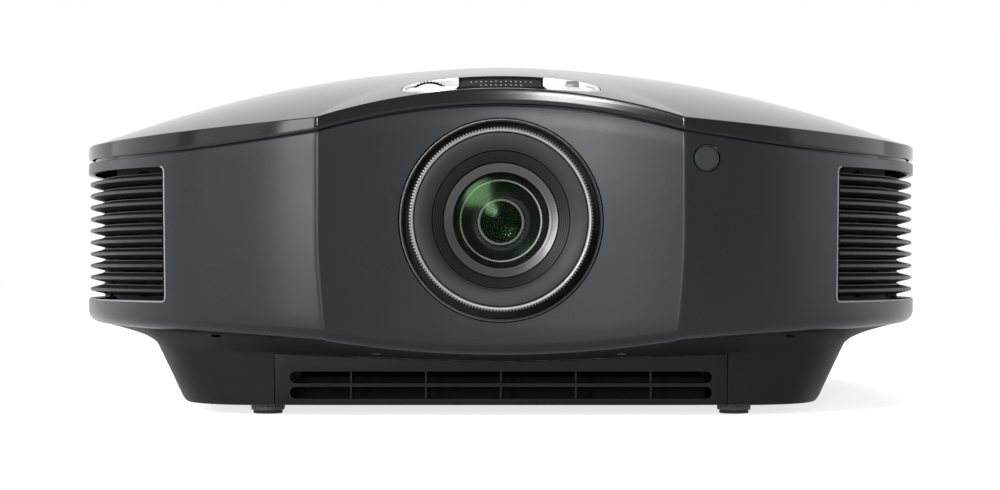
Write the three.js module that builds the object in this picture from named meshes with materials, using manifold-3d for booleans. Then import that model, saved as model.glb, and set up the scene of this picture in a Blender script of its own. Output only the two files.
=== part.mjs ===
// Home projector: a domed lid with a glossy lip over a faceted front, a lens that shifts in its opening,
// louvred exhausts at the front corners and an air filter drawer in the base.
// Millimetres. +X is the right of someone who faces the lens, the front faces -Y, +Z is up and z = 0 is
// the plane under the feet. The origin is the middle of the object's box, on that plane.
import * as THREE from "three";
import { mergeVertices } from "three/addons/utils/BufferGeometryUtils.js";
import Module from "manifold-3d";

const wasm = await Module();
wasm.setup();

// ---- Driving dimensions ---------------------------------------------------------------------------

// Whole object
const BODY_WIDTH = 407.4;
const TOTAL_DEPTH = 463.9; // from the front of the focus ring to the back of the rear cover
const CLEARANCE = 0.3; // between pieces that touch
const RUNNING_GAP = 0.5; // between pieces that move past each other
const WALL = 2.8; // casing walls

// Plan of the casing: a shallow dish between two creases, round wings, flat sides and a round back
const LENS_STANDOUT = 23; // focus ring ahead of the middle of the front panel
const CREASE_LEAD = 8; // creases ahead of the middle of the front panel
const CREASE_TOP_X = 78.7;
const CREASE_FOOT_X = 74.4;
const CREASE_BEND_Z = 78; // the creases lean in below this height
const WIDEST_Y = -30; // where the wings reach the full width
const WING_POWER = 2.3;
const BACK_POWER = 5;
const SPLIT_LAG = 24; // joint between the front panel and the rear cover, behind the widest place

// Lid
const LID_PEAK_Z = 169.6;
const LID_PEAK_Y = 60;
const LIP_CENTRE_Z = 142.3;
const LIP_CREASE_Z = 129.6;
const LIP_SIDE_Z = 123.1;
const LIP_FALL = 0.85; // share of the wing over which the lip comes down
const BAND_HEIGHT = 5.8;
const BAND_CENTRE_EXTRA = 1.1;
const BAND_WING_EXTRA = 2.4;
const SHADOW_GAP = 2; // open line between the band and the walls
const TONGUE = 1.8; // thickness of the tongue that closes the open line from inside
const TONGUE_DROP = 5;
const LID_THICKNESS = 3;

// Lower edge of the walls, and the base under it
const HEM_CENTRE_Z = 27.1;
const HEM_CREASE_Z = 33.6;
const HEM_SIDE_Z = 39.2;
const HEM_RADIUS = 5.5;
const BASE_TOP_HALF = 159.4;
const BASE_FOOT_HALF = 147;
const BASE_TOP_CENTRE_Z = 24.3;
const BASE_TOP_SIDE_Z = 30.8;
const BASE_FOOT_Z = 4.6;
const BASE_FRONT_SETBACK = 19; // base behind the middle of the front panel
const BASE_REAR_SETBACK = 30;
const BASE_DRAFT = 2;
const BASE_POWER = 8;
const FLOOR = 2.5;

// Lens
const LENS_Z = 85.5;
const OPENING_RADIUS = 44.1;
const BEZEL_LIP = 1.3;
const BEZEL_DEPTH = 10;
const FOCUS_RING_RADIUS = 39.1;
const FOCUS_RING_INNER = 36.9;
const FOCUS_RING_LENGTH = 10;
const ZOOM_RING_RADIUS = 38.4;
const ZOOM_RING_LENGTH = 7;
const BARREL_RADIUS = 35.5;
const BARREL_WALL = 2.2;
const BARREL_LENGTH = 112;
const FACE_INNER = 28.9;
const CONE_INNER = 24.3;
const CONE_DEPTH = 18;
const HOOD_SINK = 0.8; // dark face behind the front of the focus ring
const SEAT_STEP = 3.5; // from the foot of the cone to the seat of the front lens, and the cell's wall
const FRONT_LENS_RADIUS = 22.6;
const FRONT_LENS_VIEW = 20.2;
const FRONT_LENS_THICKNESS = 7;
const APERTURE_RADIUS = 9.4;
const APERTURE_DEPTH = 62;
const APERTURE_THICKNESS = 3;
const REAR_LENS_DEPTH = 92;
const REAR_LENS_THICKNESS = 6;
const SHIELD_RADIUS = 47;
const SHIELD_THICKNESS = 1.5;
const SHIELD_GAP = 3; // shield behind the bezel
const SHIFT_X = 3.4; // lens travel each way
const SHIFT_Z = 5.4;

// Lens shift: recess, dials, screws and carriages
const RECESS_HALF = 44;
const RECESS_SETBACK = 4.45; // behind the middle of the front panel
const RECESS_LENGTH = 49.5;
const RECESS_POWER = 3;
const RECESS_FLOOR_Z = 141.5;
const RECESS_WALL = 2;
const ISLAND_HALF = 17.9;
const ISLAND_DROP = 1.2; // island below the lid's surface
const DIAL_X = 31.5;
const DIAL_SETBACK = 32.95; // behind the middle of the front panel
const DIAL_Z = 135.9;
const DIAL_RADIUS = 12;
const DIAL_THICKNESS = 6;
const DIAL_BEVEL = 0.8;
const DIAL_SHAFT_RADIUS = 2.2;
const DIAL_NOTCH = 3; // room for the dials above the floor of the recess
const BEVEL_RADIUS = 3;
const BEVEL_LENGTH = 2;
const SCREW_RADIUS = 2.5;
const CARRIAGE_THICKNESS = 4;
const CARRIAGE_GAP = 7; // from the horizontal screw to the foremost carriage
const CARRIAGE_PITCH = 6;
const CARRIAGE_RIM = 4; // least width of a carriage round its hole
const GUIDE_FRAME_HALF = 70;
const GUIDE_FRAME_TOP_Z = 132;
const VERTICAL_SCREW_X = 53.5;
const VERTICAL_SCREW_FOOT_Z = 76;
const HORIZONTAL_SCREW_GAP = 29; // behind the dials
const HORIZONTAL_SCREW_END_X = -66;
const NUT_X = -48;
const NUT_HALF = 5; // also the vertical carriage's threaded arm and its bearing
const NUT_ARM_HALF = 2;
const NUT_ARM_FOOT_Z = 118;
const ARM_RISE = 11; // vertical carriage's arm above the lens axis
const ARM_HEIGHT = 8;

// Exhaust grilles
const VENT_WIDTH = 54.2; // across the front, from the side
const VENT_REAR_LAG = 18; // behind the widest place
const VENT_TOP_Z = 110;
const VENT_FOOT_Z = 50;
const LOUVRE_COUNT = 10;
const LOUVRE_PITCH = 5.59;
const LOUVRE_DEPTH = 6.6;
const LOUVRE_RISE = 2.6;
const GRILLE_RECESS = 0.7;
const GRILLE_POST = 3;

// Receiver windows
const IR_RADIUS = 6;
const IR_X = 88;
const IR_Z = 112;
const REAR_IR_X = -70;
const REAR_IR_Z = 100;
const IR_THICKNESS = 2;
const IR_SINK = 1.2; // front window behind the panel's face

// Filter drawer
const DRAWER_HALF = 99.5;
const DRAWER_DEPTH = 58;
const DRAWER_HEIGHT = 11;
const DRAWER_INSET = 7; // tray narrower than its front on each side
const DRAWER_RIM = 2;
const SLOT_HALF = 92.5;
const SLOT_COLUMNS = 6;
const SLOT_HEIGHT = 4.4;
const SLOT_ROWS_Z = [10.3, 17.1];
const SLOT_POST = 2.4;

// Feet
const FOOT_GAP = 4.3; // between the front feet and the drawer's tray
const FOOT_FRONT_INSET = 24.95;
const FOOT_REAR_INSET = 43.95;
const FOOT_RADIUS = 7.6;
const FOOT_PAD_HEIGHT = 1.2;
const FOOT_STEM_RADIUS = 2.9;
const FOOT_STEM_LENGTH = 18;
const FOOT_BEVEL = 0.6;
const PAD_INSET = 1; // pad narrower than its knob

// Side panel with the sockets and the controls, and the lamp door opposite
const SIDE_WINDOW_REAR_INSET = 91.95; // from the back of the rear cover
const SIDE_WINDOW_LENGTH = 120;
const SIDE_WINDOW_FOOT_Z = 50;
const SIDE_WINDOW_TOP_Z = 110;
const SIDE_PLATE_SINK = 9.2; // inside the side wall's face
const SIDE_PLATE_THICKNESS = 2;
const SIDE_PLATE_LAP = 4; // plate past the window in the wall, on three sides
const SIDE_PLATE_TOP_LAP = 1; // and at the top, under the lid's tongue
const BOARD_THICKNESS = 1.6;
const BOARD_LAP = 2; // board past the window in the wall
const SOCKET_DEPTH = 14;
const SOCKET_STANDOUT = 0.6;
const SOCKET_SKIN = 0.7;
const SLIT_TONGUE = 1.4;
const COLLAR_STANDOUT = 5;
const NETWORK_WALL = 1.8;
const JACK_PITCH = 11;
const JACK_RADIUS = 4.1;
const JACK_BORE = 1.6;
const JACK_STANDOUT = 7.5;
const BUTTON_RADIUS = 4;
const BUTTON_STANDOUT = 2.2;
const BUTTON_DEPTH = 9;
const BUTTON_FLANGE = 1.3;
const BUTTON_BEVEL = 0.4;
const BUTTON_ROW_Z = 98;
const LAMP_DOOR_FRONT_Y = 0;
const LAMP_DOOR_REAR_Y = 92;
const LAMP_DOOR_FOOT_Z = 52;
const LAMP_DOOR_TOP_Z = 106;
const LAMP_DOOR_THICKNESS = 2.4;
const DOOR_GAP = 0.6;

// Rear: mains inlet and intake grille
const INLET_X = -110;
const INLET_Z = 62;
const INLET_WIDTH = 27.5;
const INLET_HEIGHT = 20;
const INLET_DEPTH = 18;
const INLET_WALL = 1.7;
const PIN_LENGTH = 11;
const PIN_PITCH = 7;
const PIN_RISE = 3; // line and neutral above the middle of the inlet
const EARTH_RISE = 5.6;
const PIN_HALF_WIDTH = 1;
const PIN_HALF_HEIGHT = 1.8;
const INTAKE_HALF = 62;
const INTAKE_FOOT_Z = 52;
const INTAKE_TOP_Z = 100;
const INTAKE_SLOTS = 6;
const INTAKE_SLOT_HEIGHT = 3.6;
const INTAKE_X = 34;

// Fans
const FAN_SIZE = 66;
const FAN_DEPTH = 20;
const FAN_Z = 81;
const FAN_INSET = 42.7; // from the side wall's face
const FAN_LEAD = 87; // ahead of the rear edge of the louvres
const FAN_TURN = 58; // degrees away from straight ahead
const FAN_BORE = 30;
const HUB_RADIUS = 12;
const BLADE_COUNT = 7;
const BLADE_THICKNESS = 1.4;
const BLADE_PITCH = 35; // degrees
const BLADE_HALF_CHORD = 6.5;
const BLADE_TIP_GAP = 1.2;
const SPIDER_THICKNESS = 2;
const SPIDER_HALF_WIDTH = 1.5;

// Blocks inside
const ENGINE_HALF_WIDTH = 60;
const ENGINE_HALF_HEIGHT = 33;
const ENGINE_GAP = 15.6; // behind the barrel
const ENGINE_REAR_Y = 60;
const SUPPLY_FRONT_Y = -80;
const SUPPLY_REAR_Y = 60;
const SUPPLY_TOP_Z = 44;
const SUPPLY_SPLIT_X = 8; // inner end of the ballast
const SUPPLY_HALF = 128;
const SUPPLY_SPACE = 12; // between the ballast and the power supply
const LAMP_GAP = 15.7; // between the side wall's face and the lamp
const LAMP_INSET = 6; // lamp housing narrower than its door's opening on each side
const LAMP_LAP = 2; // lamp housing taller than its door's opening
const REFLECTOR_SPACE = 34; // from the lamp housing to the reflector's neck
const REFLECTOR_GAP = 8; // between the reflector's mouth and the optical engine
const REFLECTOR_RADIUS = 26;
const REFLECTOR_DEPTH = 24;
const REFLECTOR_NECK = 4;
const REFLECTOR_WALL = 2;

// ---- Worked out from them -------------------------------------------------------------------------

const HALF_WIDTH = BODY_WIDTH / 2;
const RING_FRONT_Y = -TOTAL_DEPTH / 2;
const REAR_Y = TOTAL_DEPTH / 2;
const PANEL_Y = RING_FRONT_Y + LENS_STANDOUT;
const CREASE_Y = PANEL_Y - CREASE_LEAD;
const SHELL_SPLIT_Y = WIDEST_Y + SPLIT_LAG;
const VENT_INNER_X = HALF_WIDTH - VENT_WIDTH;
const VENT_REAR_Y = WIDEST_Y + VENT_REAR_LAG;
const RECESS_FRONT_Y = PANEL_Y + RECESS_SETBACK;
const RECESS_REAR_Y = RECESS_FRONT_Y + RECESS_LENGTH;
const DIAL_Y = PANEL_Y + DIAL_SETBACK;
const HORIZONTAL_SCREW_Y = DIAL_Y + HORIZONTAL_SCREW_GAP;
const CARRIAGE_Y = HORIZONTAL_SCREW_Y + CARRIAGE_GAP;
const SIDE_PLATE_X = HALF_WIDTH - SIDE_PLATE_SINK;
const SIDE_WINDOW_REAR_Y = REAR_Y - SIDE_WINDOW_REAR_INSET;
const SIDE_WINDOW_FRONT_Y = SIDE_WINDOW_REAR_Y - SIDE_WINDOW_LENGTH;
const BASE_FRONT_Y = PANEL_Y + BASE_FRONT_SETBACK;
const BASE_REAR_Y = REAR_Y - BASE_REAR_SETBACK;
const BASE_MIDDLE_Y = (BASE_FRONT_Y + BASE_REAR_Y) / 2;
const FLOOR_Z = BASE_FOOT_Z + FLOOR;
const FOOT_X = DRAWER_HALF - DRAWER_INSET + FOOT_RADIUS + FOOT_GAP;
const FOOT_FRONT_Y = BASE_FRONT_Y + FOOT_FRONT_INSET;
const FOOT_REAR_Y = BASE_REAR_Y - FOOT_REAR_INSET;
const FAN_X = HALF_WIDTH - FAN_INSET;
const FAN_Y = VENT_REAR_Y - FAN_LEAD;
const CARRIAGE_2_Y = CARRIAGE_Y + CARRIAGE_PITCH;
const FRAME_Y = CARRIAGE_2_Y + CARRIAGE_PITCH;
const LENS_SEAT = CONE_DEPTH + SEAT_STEP;
const VENT_STEPS = 7;
const RING_SEGMENTS = 32;
const SMALL_SEGMENTS = 12;
const THROUGH = 60; // reach of a cutting tool past what it cuts

// ---- Solids from meshes ---------------------------------------------------------------------------

/** A closed solid from a three.js geometry, with its faces pointing out. */
function solid(geometry) {
  const bare = geometry.index ? geometry.toNonIndexed() : geometry.clone();
  bare.deleteAttribute("normal");
  bare.deleteAttribute("uv");
  const merged = mergeVertices(bare, 1e-4);
  const index = merged.index.array;
  const faces = [];
  for (let i = 0; i < index.length; i += 3) {
    const [a, b, c] = [index[i], index[i + 1], index[i + 2]];
    if (a !== b && b !== c && c !== a) faces.push([a, b, c]);
  }
  const make = (list) =>
    new wasm.Manifold(
      new wasm.Mesh({
        numProp: 3,
        vertProperties: new Float32Array(merged.attributes.position.array),
        triVerts: new Uint32Array(list.flat()),
      }),
    );
  const made = make(faces);
  if (made.volume() > 0) return made;
  return make(faces.map(([a, b, c]) => [a, c, b]));
}

/** The geometry of a solid, with the repeated points of its mesh joined. */
function geometryOf(body) {
  const mesh = body.getMesh();
  const positions = new Float32Array(mesh.numVert * 3);
  for (let i = 0; i < mesh.numVert; i++) {
    const start = i * mesh.numProp;
    positions.set(mesh.vertProperties.subarray(start, start + 3), i * 3);
  }
  const geometry = new THREE.BufferGeometry();
  geometry.setAttribute("position", new THREE.BufferAttribute(positions, 3));
  geometry.setIndex(new THREE.BufferAttribute(mesh.triVerts, 1));
  geometry.computeVertexNormals();
  return geometry;
}

const join = (bodies) => bodies.reduce((sum, body) => sum.add(body));
const cut = (body, tools) => tools.reduce((rest, tool) => rest.subtract(tool), body);

/** A box between two corners, each side given as a pair. */
function box([x0, x1], [y0, y1], [z0, z1]) {
  const geometry = new THREE.BoxGeometry(x1 - x0, y1 - y0, z1 - z0);
  return solid(geometry.translate((x0 + x1) / 2, (y0 + y1) / 2, (z0 + z1) / 2));
}

const TURN = {
  x: new THREE.Matrix4().makeRotationZ(-Math.PI / 2),
  y: new THREE.Matrix4(),
  z: new THREE.Matrix4().makeRotationX(Math.PI / 2),
};

/** A turned piece. The profile's points are [radius, distance along the axis from the place]. */
function turned(axis, place, profile, segments = SMALL_SEGMENTS) {
  const points = profile.map(([radius, along]) => new THREE.Vector2(radius, along));
  const geometry = new THREE.LatheGeometry(points, segments);
  return solid(geometry.applyMatrix4(TURN[axis]).translate(...place));
}

/** A cylinder from one distance to another along an axis through the place. */
function rod(axis, place, radius, from, to, segments = SMALL_SEGMENTS) {
  const profile = [[0, from], [radius, from], [radius, to], [0, to]];
  return turned(axis, place, profile, segments);
}

/** A ring, closed on itself. */
function ring(axis, place, inner, outer, from, to, segments = RING_SEGMENTS) {
  const profile = [[inner, from], [outer, from], [outer, to], [inner, to], [inner, from]];
  return turned(axis, place, profile, segments);
}

/** A shape drawn in X and Y and raised between two heights. */
function prism(points, z0, z1) {
  const shape = new THREE.Shape(points.map(([x, y]) => new THREE.Vector2(x, y)));
  const geometry = new THREE.ExtrudeGeometry(shape, { depth: z1 - z0, bevelEnabled: false });
  return solid(geometry.translate(0, 0, z0));
}

function meshSolid(points, faces) {
  const geometry = new THREE.BufferGeometry();
  const values = faces.flat().flatMap((i) => points[i].toArray());
  geometry.setAttribute("position", new THREE.Float32BufferAttribute(values, 3));
  return solid(geometry);
}

/** Faces between neighbouring rows of points, each row a closed loop of the same length. */
function loopFaces(rows, size) {
  const faces = [];
  for (let i = 0; i + 1 < rows; i++) {
    for (let j = 0; j < size; j++) {
      const next = (j + 1) % size;
      const [a, b] = [i * size + j, i * size + next];
      const [c, d] = [a + size, b + size];
      faces.push([a, b, d], [a, d, c]);
    }
  }
  return faces;
}

/** A solid through sections of [distance, height] points that at() puts in space. */
function swept(stations, sectionAt, at) {
  const sections = stations.map(sectionAt);
  const size = sections[0].length;
  const points = stations.flatMap((s, i) => sections[i].map((pair) => at(s, pair)));
  const faces = loopFaces(stations.length, size);
  const cap = (section) => {
    const flat = section.map(([a, b]) => new THREE.Vector2(a, b));
    const caps = THREE.ShapeUtils.triangulateShape(flat, []);
    const [p, q, r] = caps[0].map((i) => flat[i]);
    const turn = (q.x - p.x) * (r.y - p.y) - (q.y - p.y) * (r.x - p.x);
    const same = turn > 0 === THREE.ShapeUtils.area(flat) > 0;
    return same ? caps : caps.map(([a, b, c]) => [a, c, b]);
  };
  const last = (stations.length - 1) * size;
  for (const [a, b, c] of cap(sections[0])) faces.push([a, c, b]);
  for (const face of cap(sections.at(-1))) faces.push(face.map((i) => i + last));
  return meshSolid(points, faces);
}

/** A solid through closed loops, shut by a point before the first loop and one after the last. */
function capped(start, loops, end) {
  const size = loops[0].length;
  const points = [...loops.flat(), start, end];
  const faces = loopFaces(loops.length, size);
  const first = points.length - 2;
  const last = (loops.length - 1) * size;
  for (let j = 0; j < size; j++) {
    const next = (j + 1) % size;
    faces.push([first, next, j], [first + 1, last + j, last + next]);
  }
  return meshSolid(points, faces);
}

// ---- Shape of the casing --------------------------------------------------------------------------

// A place on the outline is a number s: 0 at the middle of the front, 1 and -1 at the middle of the back,
// positive on the +X side.
const CREASE_S = 0.22;
const WIDEST_S = 0.6;

const powerCos = (angle, power) => Math.max(0, Math.cos(angle)) ** (2 / power);
const powerSin = (angle, power) => Math.max(0, Math.sin(angle)) ** (2 / power);

/** Half the distance between the creases at a height. */
function creaseX(z) {
  if (z >= CREASE_BEND_Z) return CREASE_TOP_X;
  const down = (CREASE_BEND_Z - z) / (CREASE_BEND_Z - HEM_CENTRE_Z);
  return CREASE_TOP_X - (CREASE_TOP_X - CREASE_FOOT_X) * down ** 1.5;
}

/** The outline's point at s, at a height. */
function outline(s, z = LIP_SIDE_Z) {
  const side = s < 0 ? -1 : 1;
  const along = Math.abs(s);
  const crease = creaseX(z);
  const start = Math.acos((crease / HALF_WIDTH) ** (WING_POWER / 2));
  const reach = (WIDEST_Y - CREASE_Y) / powerSin(start, WING_POWER);
  if (along <= CREASE_S) {
    const share = along / CREASE_S;
    return [side * crease * share, PANEL_Y + (CREASE_Y - PANEL_Y) * share ** 2];
  }
  if (along <= WIDEST_S) {
    const angle = start * (1 - (along - CREASE_S) / (WIDEST_S - CREASE_S));
    return [side * HALF_WIDTH * powerCos(angle, WING_POWER), WIDEST_Y - reach * powerSin(angle, WING_POWER)];
  }
  const angle = ((along - WIDEST_S) / (1 - WIDEST_S)) * (Math.PI / 2);
  const back = WIDEST_Y + (REAR_Y - WIDEST_Y) * powerSin(angle, BACK_POWER);
  return [side * HALF_WIDTH * powerCos(angle, BACK_POWER), back];
}

/** The point a distance inside the outline. */
function inside(s, distance, z) {
  const step = 1e-3;
  const [x, y] = outline(s, z);
  const [xa, ya] = outline(Math.max(-1, s - step), z);
  const [xb, yb] = outline(Math.min(1, s + step), z);
  const length = Math.hypot(xb - xa, yb - ya);
  return new THREE.Vector3(x - (distance * (yb - ya)) / length, y + (distance * (xb - xa)) / length, z);
}

/** Where along the outline a wing or a side reaches a measure, by halving. */
function findS(from, to, reached) {
  let [low, high] = [from, to];
  for (let i = 0; i < 40; i++) {
    const middle = (low + high) / 2;
    if (reached(outline(middle))) high = middle;
    else low = middle;
  }
  return (low + high) / 2;
}

const VENT_START = findS(CREASE_S, WIDEST_S, ([x]) => x > VENT_INNER_X);
const placeAt = (y) => findS(CREASE_S, 1, ([, reached]) => reached > y);
const VENT_END = placeAt(VENT_REAR_Y);
const SPLIT_S = placeAt(SHELL_SPLIT_Y);
const wingY = (x) => outline(findS(CREASE_S, WIDEST_S, ([reached]) => reached > x))[1];

const span = (from, to, steps) =>
  Array.from({ length: steps + 1 }, (_, i) => from + ((to - from) * i) / steps);

/** How far a place is along the wing, from 0 at the crease to 1 at the full width. */
const wingShare = (x) => Math.min(1, Math.max(0, (Math.abs(x) - CREASE_TOP_X) / (HALF_WIDTH - CREASE_TOP_X)));

/** Height of the lip's top edge at a place on the outline. */
function lipZ(s) {
  const [x, y] = outline(s);
  if (y > WIDEST_Y) return LIP_SIDE_Z;
  const share = Math.min(1, Math.abs(x) / CREASE_TOP_X);
  if (share < 1) return LIP_CENTRE_Z - (LIP_CENTRE_Z - LIP_CREASE_Z) * share ** 2;
  const fall = Math.min(1, wingShare(x) / LIP_FALL);
  return LIP_SIDE_Z + (LIP_CREASE_Z - LIP_SIDE_Z) * (1 - fall) ** 1.3;
}

/** Height of the glossy band under the lip. */
function bandHeight(s) {
  const [x, y] = outline(s);
  if (y > WIDEST_Y) return BAND_HEIGHT;
  const share = Math.min(1, Math.abs(x) / CREASE_TOP_X);
  const wing = Math.sin(Math.PI * wingShare(x));
  return BAND_HEIGHT + BAND_CENTRE_EXTRA * (1 - share ** 2) + BAND_WING_EXTRA * wing;
}

const bandFootZ = (s) => lipZ(s) - bandHeight(s);
const wallTopZ = (s) => bandFootZ(s) - SHADOW_GAP;

/** Height of the lower edge of the walls. */
function hemZ(s) {
  const [x, y] = outline(s);
  if (y > WIDEST_Y) return HEM_SIDE_Z;
  const share = Math.min(1, Math.abs(x) / CREASE_TOP_X);
  if (share < 1) return HEM_CENTRE_Z + (HEM_CREASE_Z - HEM_CENTRE_Z) * share ** 2;
  return HEM_CREASE_Z + (HEM_SIDE_Z - HEM_CREASE_Z) * wingShare(x) ** 0.8;
}

/** A point of the lid: share 0 is the peak and share 1 the edge, inset inwards and sunk below the surface. */
function lidPoint(s, share, inset, sink) {
  const edge = inside(s, inset, LIP_SIDE_Z);
  const z = LID_PEAK_Z - (LID_PEAK_Z - lipZ(s)) * share ** 2;
  return new THREE.Vector3(edge.x * share, LID_PEAK_Y + (edge.y - LID_PEAK_Y) * share, z - sink);
}

/** The closed outline's places, finer where it bends. */
const HALF_LOOP = [
  ...span(0, CREASE_S, 6).slice(1),
  ...span(CREASE_S, WIDEST_S, 9).slice(1),
  ...span(WIDEST_S, 1, 9).slice(1),
];
const LOOP = [...HALF_LOOP.map((s) => -s).reverse().slice(1), 0, ...HALF_LOOP];

// The base under the walls: a squarer outline round its own middle.
function basePoint(s, half, front, back, z) {
  const [x, y] = outline(s);
  const [dx, dy] = [x, y - BASE_MIDDLE_Y];
  const reach = dy < 0 ? BASE_MIDDLE_Y - front : back - BASE_MIDDLE_Y;
  const power = (Math.abs(dx) / half) ** BASE_POWER + (Math.abs(dy) / reach) ** BASE_POWER;
  const size = power ** (1 / BASE_POWER);
  return new THREE.Vector3(dx / size, BASE_MIDDLE_Y + dy / size, z);
}

/** The base front's Y at a distance from the middle. */
function baseFrontY(x, half, front) {
  const share = (1 - (Math.abs(x) / half) ** BASE_POWER) ** (1 / BASE_POWER);
  return BASE_MIDDLE_Y - (BASE_MIDDLE_Y - front) * share;
}

/** Height of the edge where the pan meets the base. */
function baseTopZ(x, y) {
  if (y > BASE_MIDDLE_Y) return BASE_TOP_SIDE_Z;
  const share = Math.min(1, Math.abs(x) / BASE_TOP_HALF);
  return BASE_TOP_CENTRE_Z + (BASE_TOP_SIDE_Z - BASE_TOP_CENTRE_Z) * share ** 1.3;
}

// ---- Casing pieces --------------------------------------------------------------------------------

const lidLoop = (share, inset, sink) => LOOP.map((s) => lidPoint(s, share, inset, sink));
const edgeLoop = (inset, zAt) =>
  LOOP.map((s) => {
    const point = inside(s, inset, LIP_SIDE_Z);
    point.z = zAt(s);
    return point;
  });
const LID_SHARES = [0.4, 0.7, 0.88];

/** The recess's outline, a rounded rectangle a distance inside its edge. */
function recessOutline(inset) {
  const half = RECESS_HALF - inset;
  const middle = (RECESS_FRONT_Y + RECESS_REAR_Y) / 2;
  const reach = (RECESS_REAR_Y - RECESS_FRONT_Y) / 2 - inset;
  return span(0, 2 * Math.PI, 32).slice(1).map((angle) => [
    Math.sign(Math.cos(angle)) * half * Math.abs(Math.cos(angle)) ** (2 / RECESS_POWER),
    middle + Math.sign(Math.sin(angle)) * reach * Math.abs(Math.sin(angle)) ** (2 / RECESS_POWER),
  ]);
}

/** Everything under the lid's surface, sunk by a distance. */
function underLid(sink) {
  const peak = new THREE.Vector3(0, LID_PEAK_Y, LID_PEAK_Z - sink);
  const floor = new THREE.Vector3(0, LID_PEAK_Y, LENS_Z);
  const loops = [...LID_SHARES, 1].map((share) => lidLoop(share, 0, sink));
  return capped(peak, [...loops, edgeLoop(0, () => LENS_Z)], floor);
}

function topCover() {
  const tongueInner = WALL + CLEARANCE + TONGUE;
  const peak = new THREE.Vector3(0, LID_PEAK_Y, LID_PEAK_Z);
  const innerPeak = new THREE.Vector3(0, LID_PEAK_Y, LID_PEAK_Z - LID_THICKNESS);
  const loops = [
    ...LID_SHARES.map((share) => lidLoop(share, 0, 0)),
    lidLoop(1, 0, 0),
    edgeLoop(0, bandFootZ),
    edgeLoop(WALL + CLEARANCE, bandFootZ),
    edgeLoop(WALL + CLEARANCE, (s) => bandFootZ(s) - TONGUE_DROP),
    edgeLoop(tongueInner, (s) => bandFootZ(s) - TONGUE_DROP),
    lidLoop(1, tongueInner, LID_THICKNESS),
    ...[...LID_SHARES].reverse().map((share) => lidLoop(share, tongueInner, LID_THICKNESS)),
  ];
  return cut(capped(peak, loops, innerPeak), [prism(recessOutline(0), LENS_Z, LID_PEAK_Z)]);
}

const wallPoint = (s, [distance, z]) => inside(s, distance, z);
const HALF_BEND = 1 - Math.SQRT1_2; // of a radius, at the middle of a quarter turn

/** Section of a wall: straight down, then round under to the hem. */
function wallSection(s) {
  const [top, hem] = [wallTopZ(s), hemZ(s)];
  const bend = Math.min(CREASE_BEND_Z, top - 1);
  const low = (bend + hem + HEM_RADIUS) / 2;
  return [
    [0, top], [0, bend], [0, low], [0, hem + HEM_RADIUS],
    [HEM_RADIUS * HALF_BEND, hem + HEM_RADIUS * HALF_BEND], [HEM_RADIUS, hem],
    [HEM_RADIUS, hem + WALL], [WALL + 1, hem + WALL + 1], [WALL, hem + WALL + HEM_RADIUS],
    [WALL, low], [WALL, bend], [WALL, top],
  ];
}

/** A strip that follows the outline, as a tool or a plain piece. */
function strip(stations, [near, far], [z0, z1]) {
  return swept(stations, () => [[near, z0], [far, z0], [far, z1], [near, z1]], wallPoint);
}

/** The place a distance in millimetres further along the outline. */
function further(s, distance) {
  const step = 1e-5;
  const [xa, ya] = outline(s);
  const [xb, yb] = outline(s + step);
  return s + (distance * step) / Math.hypot(xb - xa, yb - ya);
}

/** Places along one wing from one place to another, evenly from front to back. */
const alongWing = (from, to, steps) =>
  span(outline(from)[1], outline(to)[1], steps).map((y) => Math.sign(from) * placeAt(y));

function frontPanel() {
  const half = [...HALF_LOOP.filter((s) => s < SPLIT_S), SPLIT_S];
  const shell = swept([...half.map((s) => -s).reverse(), 0, ...half], wallSection, wallPoint);
  const lensAxis = [0, PANEL_Y, LENS_Z];
  const opening = rod("y", lensAxis, OPENING_RADIUS, -THROUGH, THROUGH, RING_SEGMENTS);
  const receiver = rod("y", [IR_X, CREASE_Y, IR_Z], IR_RADIUS, -THROUGH, THROUGH);
  const ventHeight = [VENT_FOOT_Z, VENT_TOP_Z];
  const vents = [-1, 1].map((side) =>
    strip(alongWing(side * VENT_START, side * VENT_END, VENT_STEPS), [-WALL, 2 * WALL], ventHeight));
  return cut(shell, [opening, receiver, ...vents]);
}

function exhaustGrille(side) {
  const start = further(side * VENT_START, side * CLEARANCE);
  const end = further(side * VENT_END, -side * CLEARANCE);
  const back = GRILLE_RECESS + LOUVRE_DEPTH;
  const height = [VENT_FOOT_Z + CLEARANCE, VENT_TOP_Z - CLEARANCE];
  const middle = (VENT_FOOT_Z + VENT_TOP_Z) / 2;
  const [first, last] = [[start, GRILLE_POST], [end, -GRILLE_POST]].map(([at, width]) =>
    further(at, (side * width) / 2));
  const stations = alongWing(first, last, VENT_STEPS);
  const blades = Array.from({ length: LOUVRE_COUNT }, (_, i) => {
    const tip = middle + (i - (LOUVRE_COUNT - 1) / 2) * LOUVRE_PITCH;
    const section = [[GRILLE_RECESS, tip], [back, tip - LOUVRE_RISE / 2], [back, tip + LOUVRE_RISE / 2]];
    return swept(stations, () => section, wallPoint);
  });
  const depth = [GRILLE_RECESS - CLEARANCE, back + RUNNING_GAP];
  const post = (at, width) => strip([at, further(at, side * width)], depth, height);
  return join([...blades, post(start, GRILLE_POST), post(end, -GRILLE_POST)]);
}

/** The rear cover's stations on one side, from the split to the middle of the back. */
const REAR_STATIONS = [further(SPLIT_S, CLEARANCE), ...HALF_LOOP.filter((s) => s > SPLIT_S)];

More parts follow.
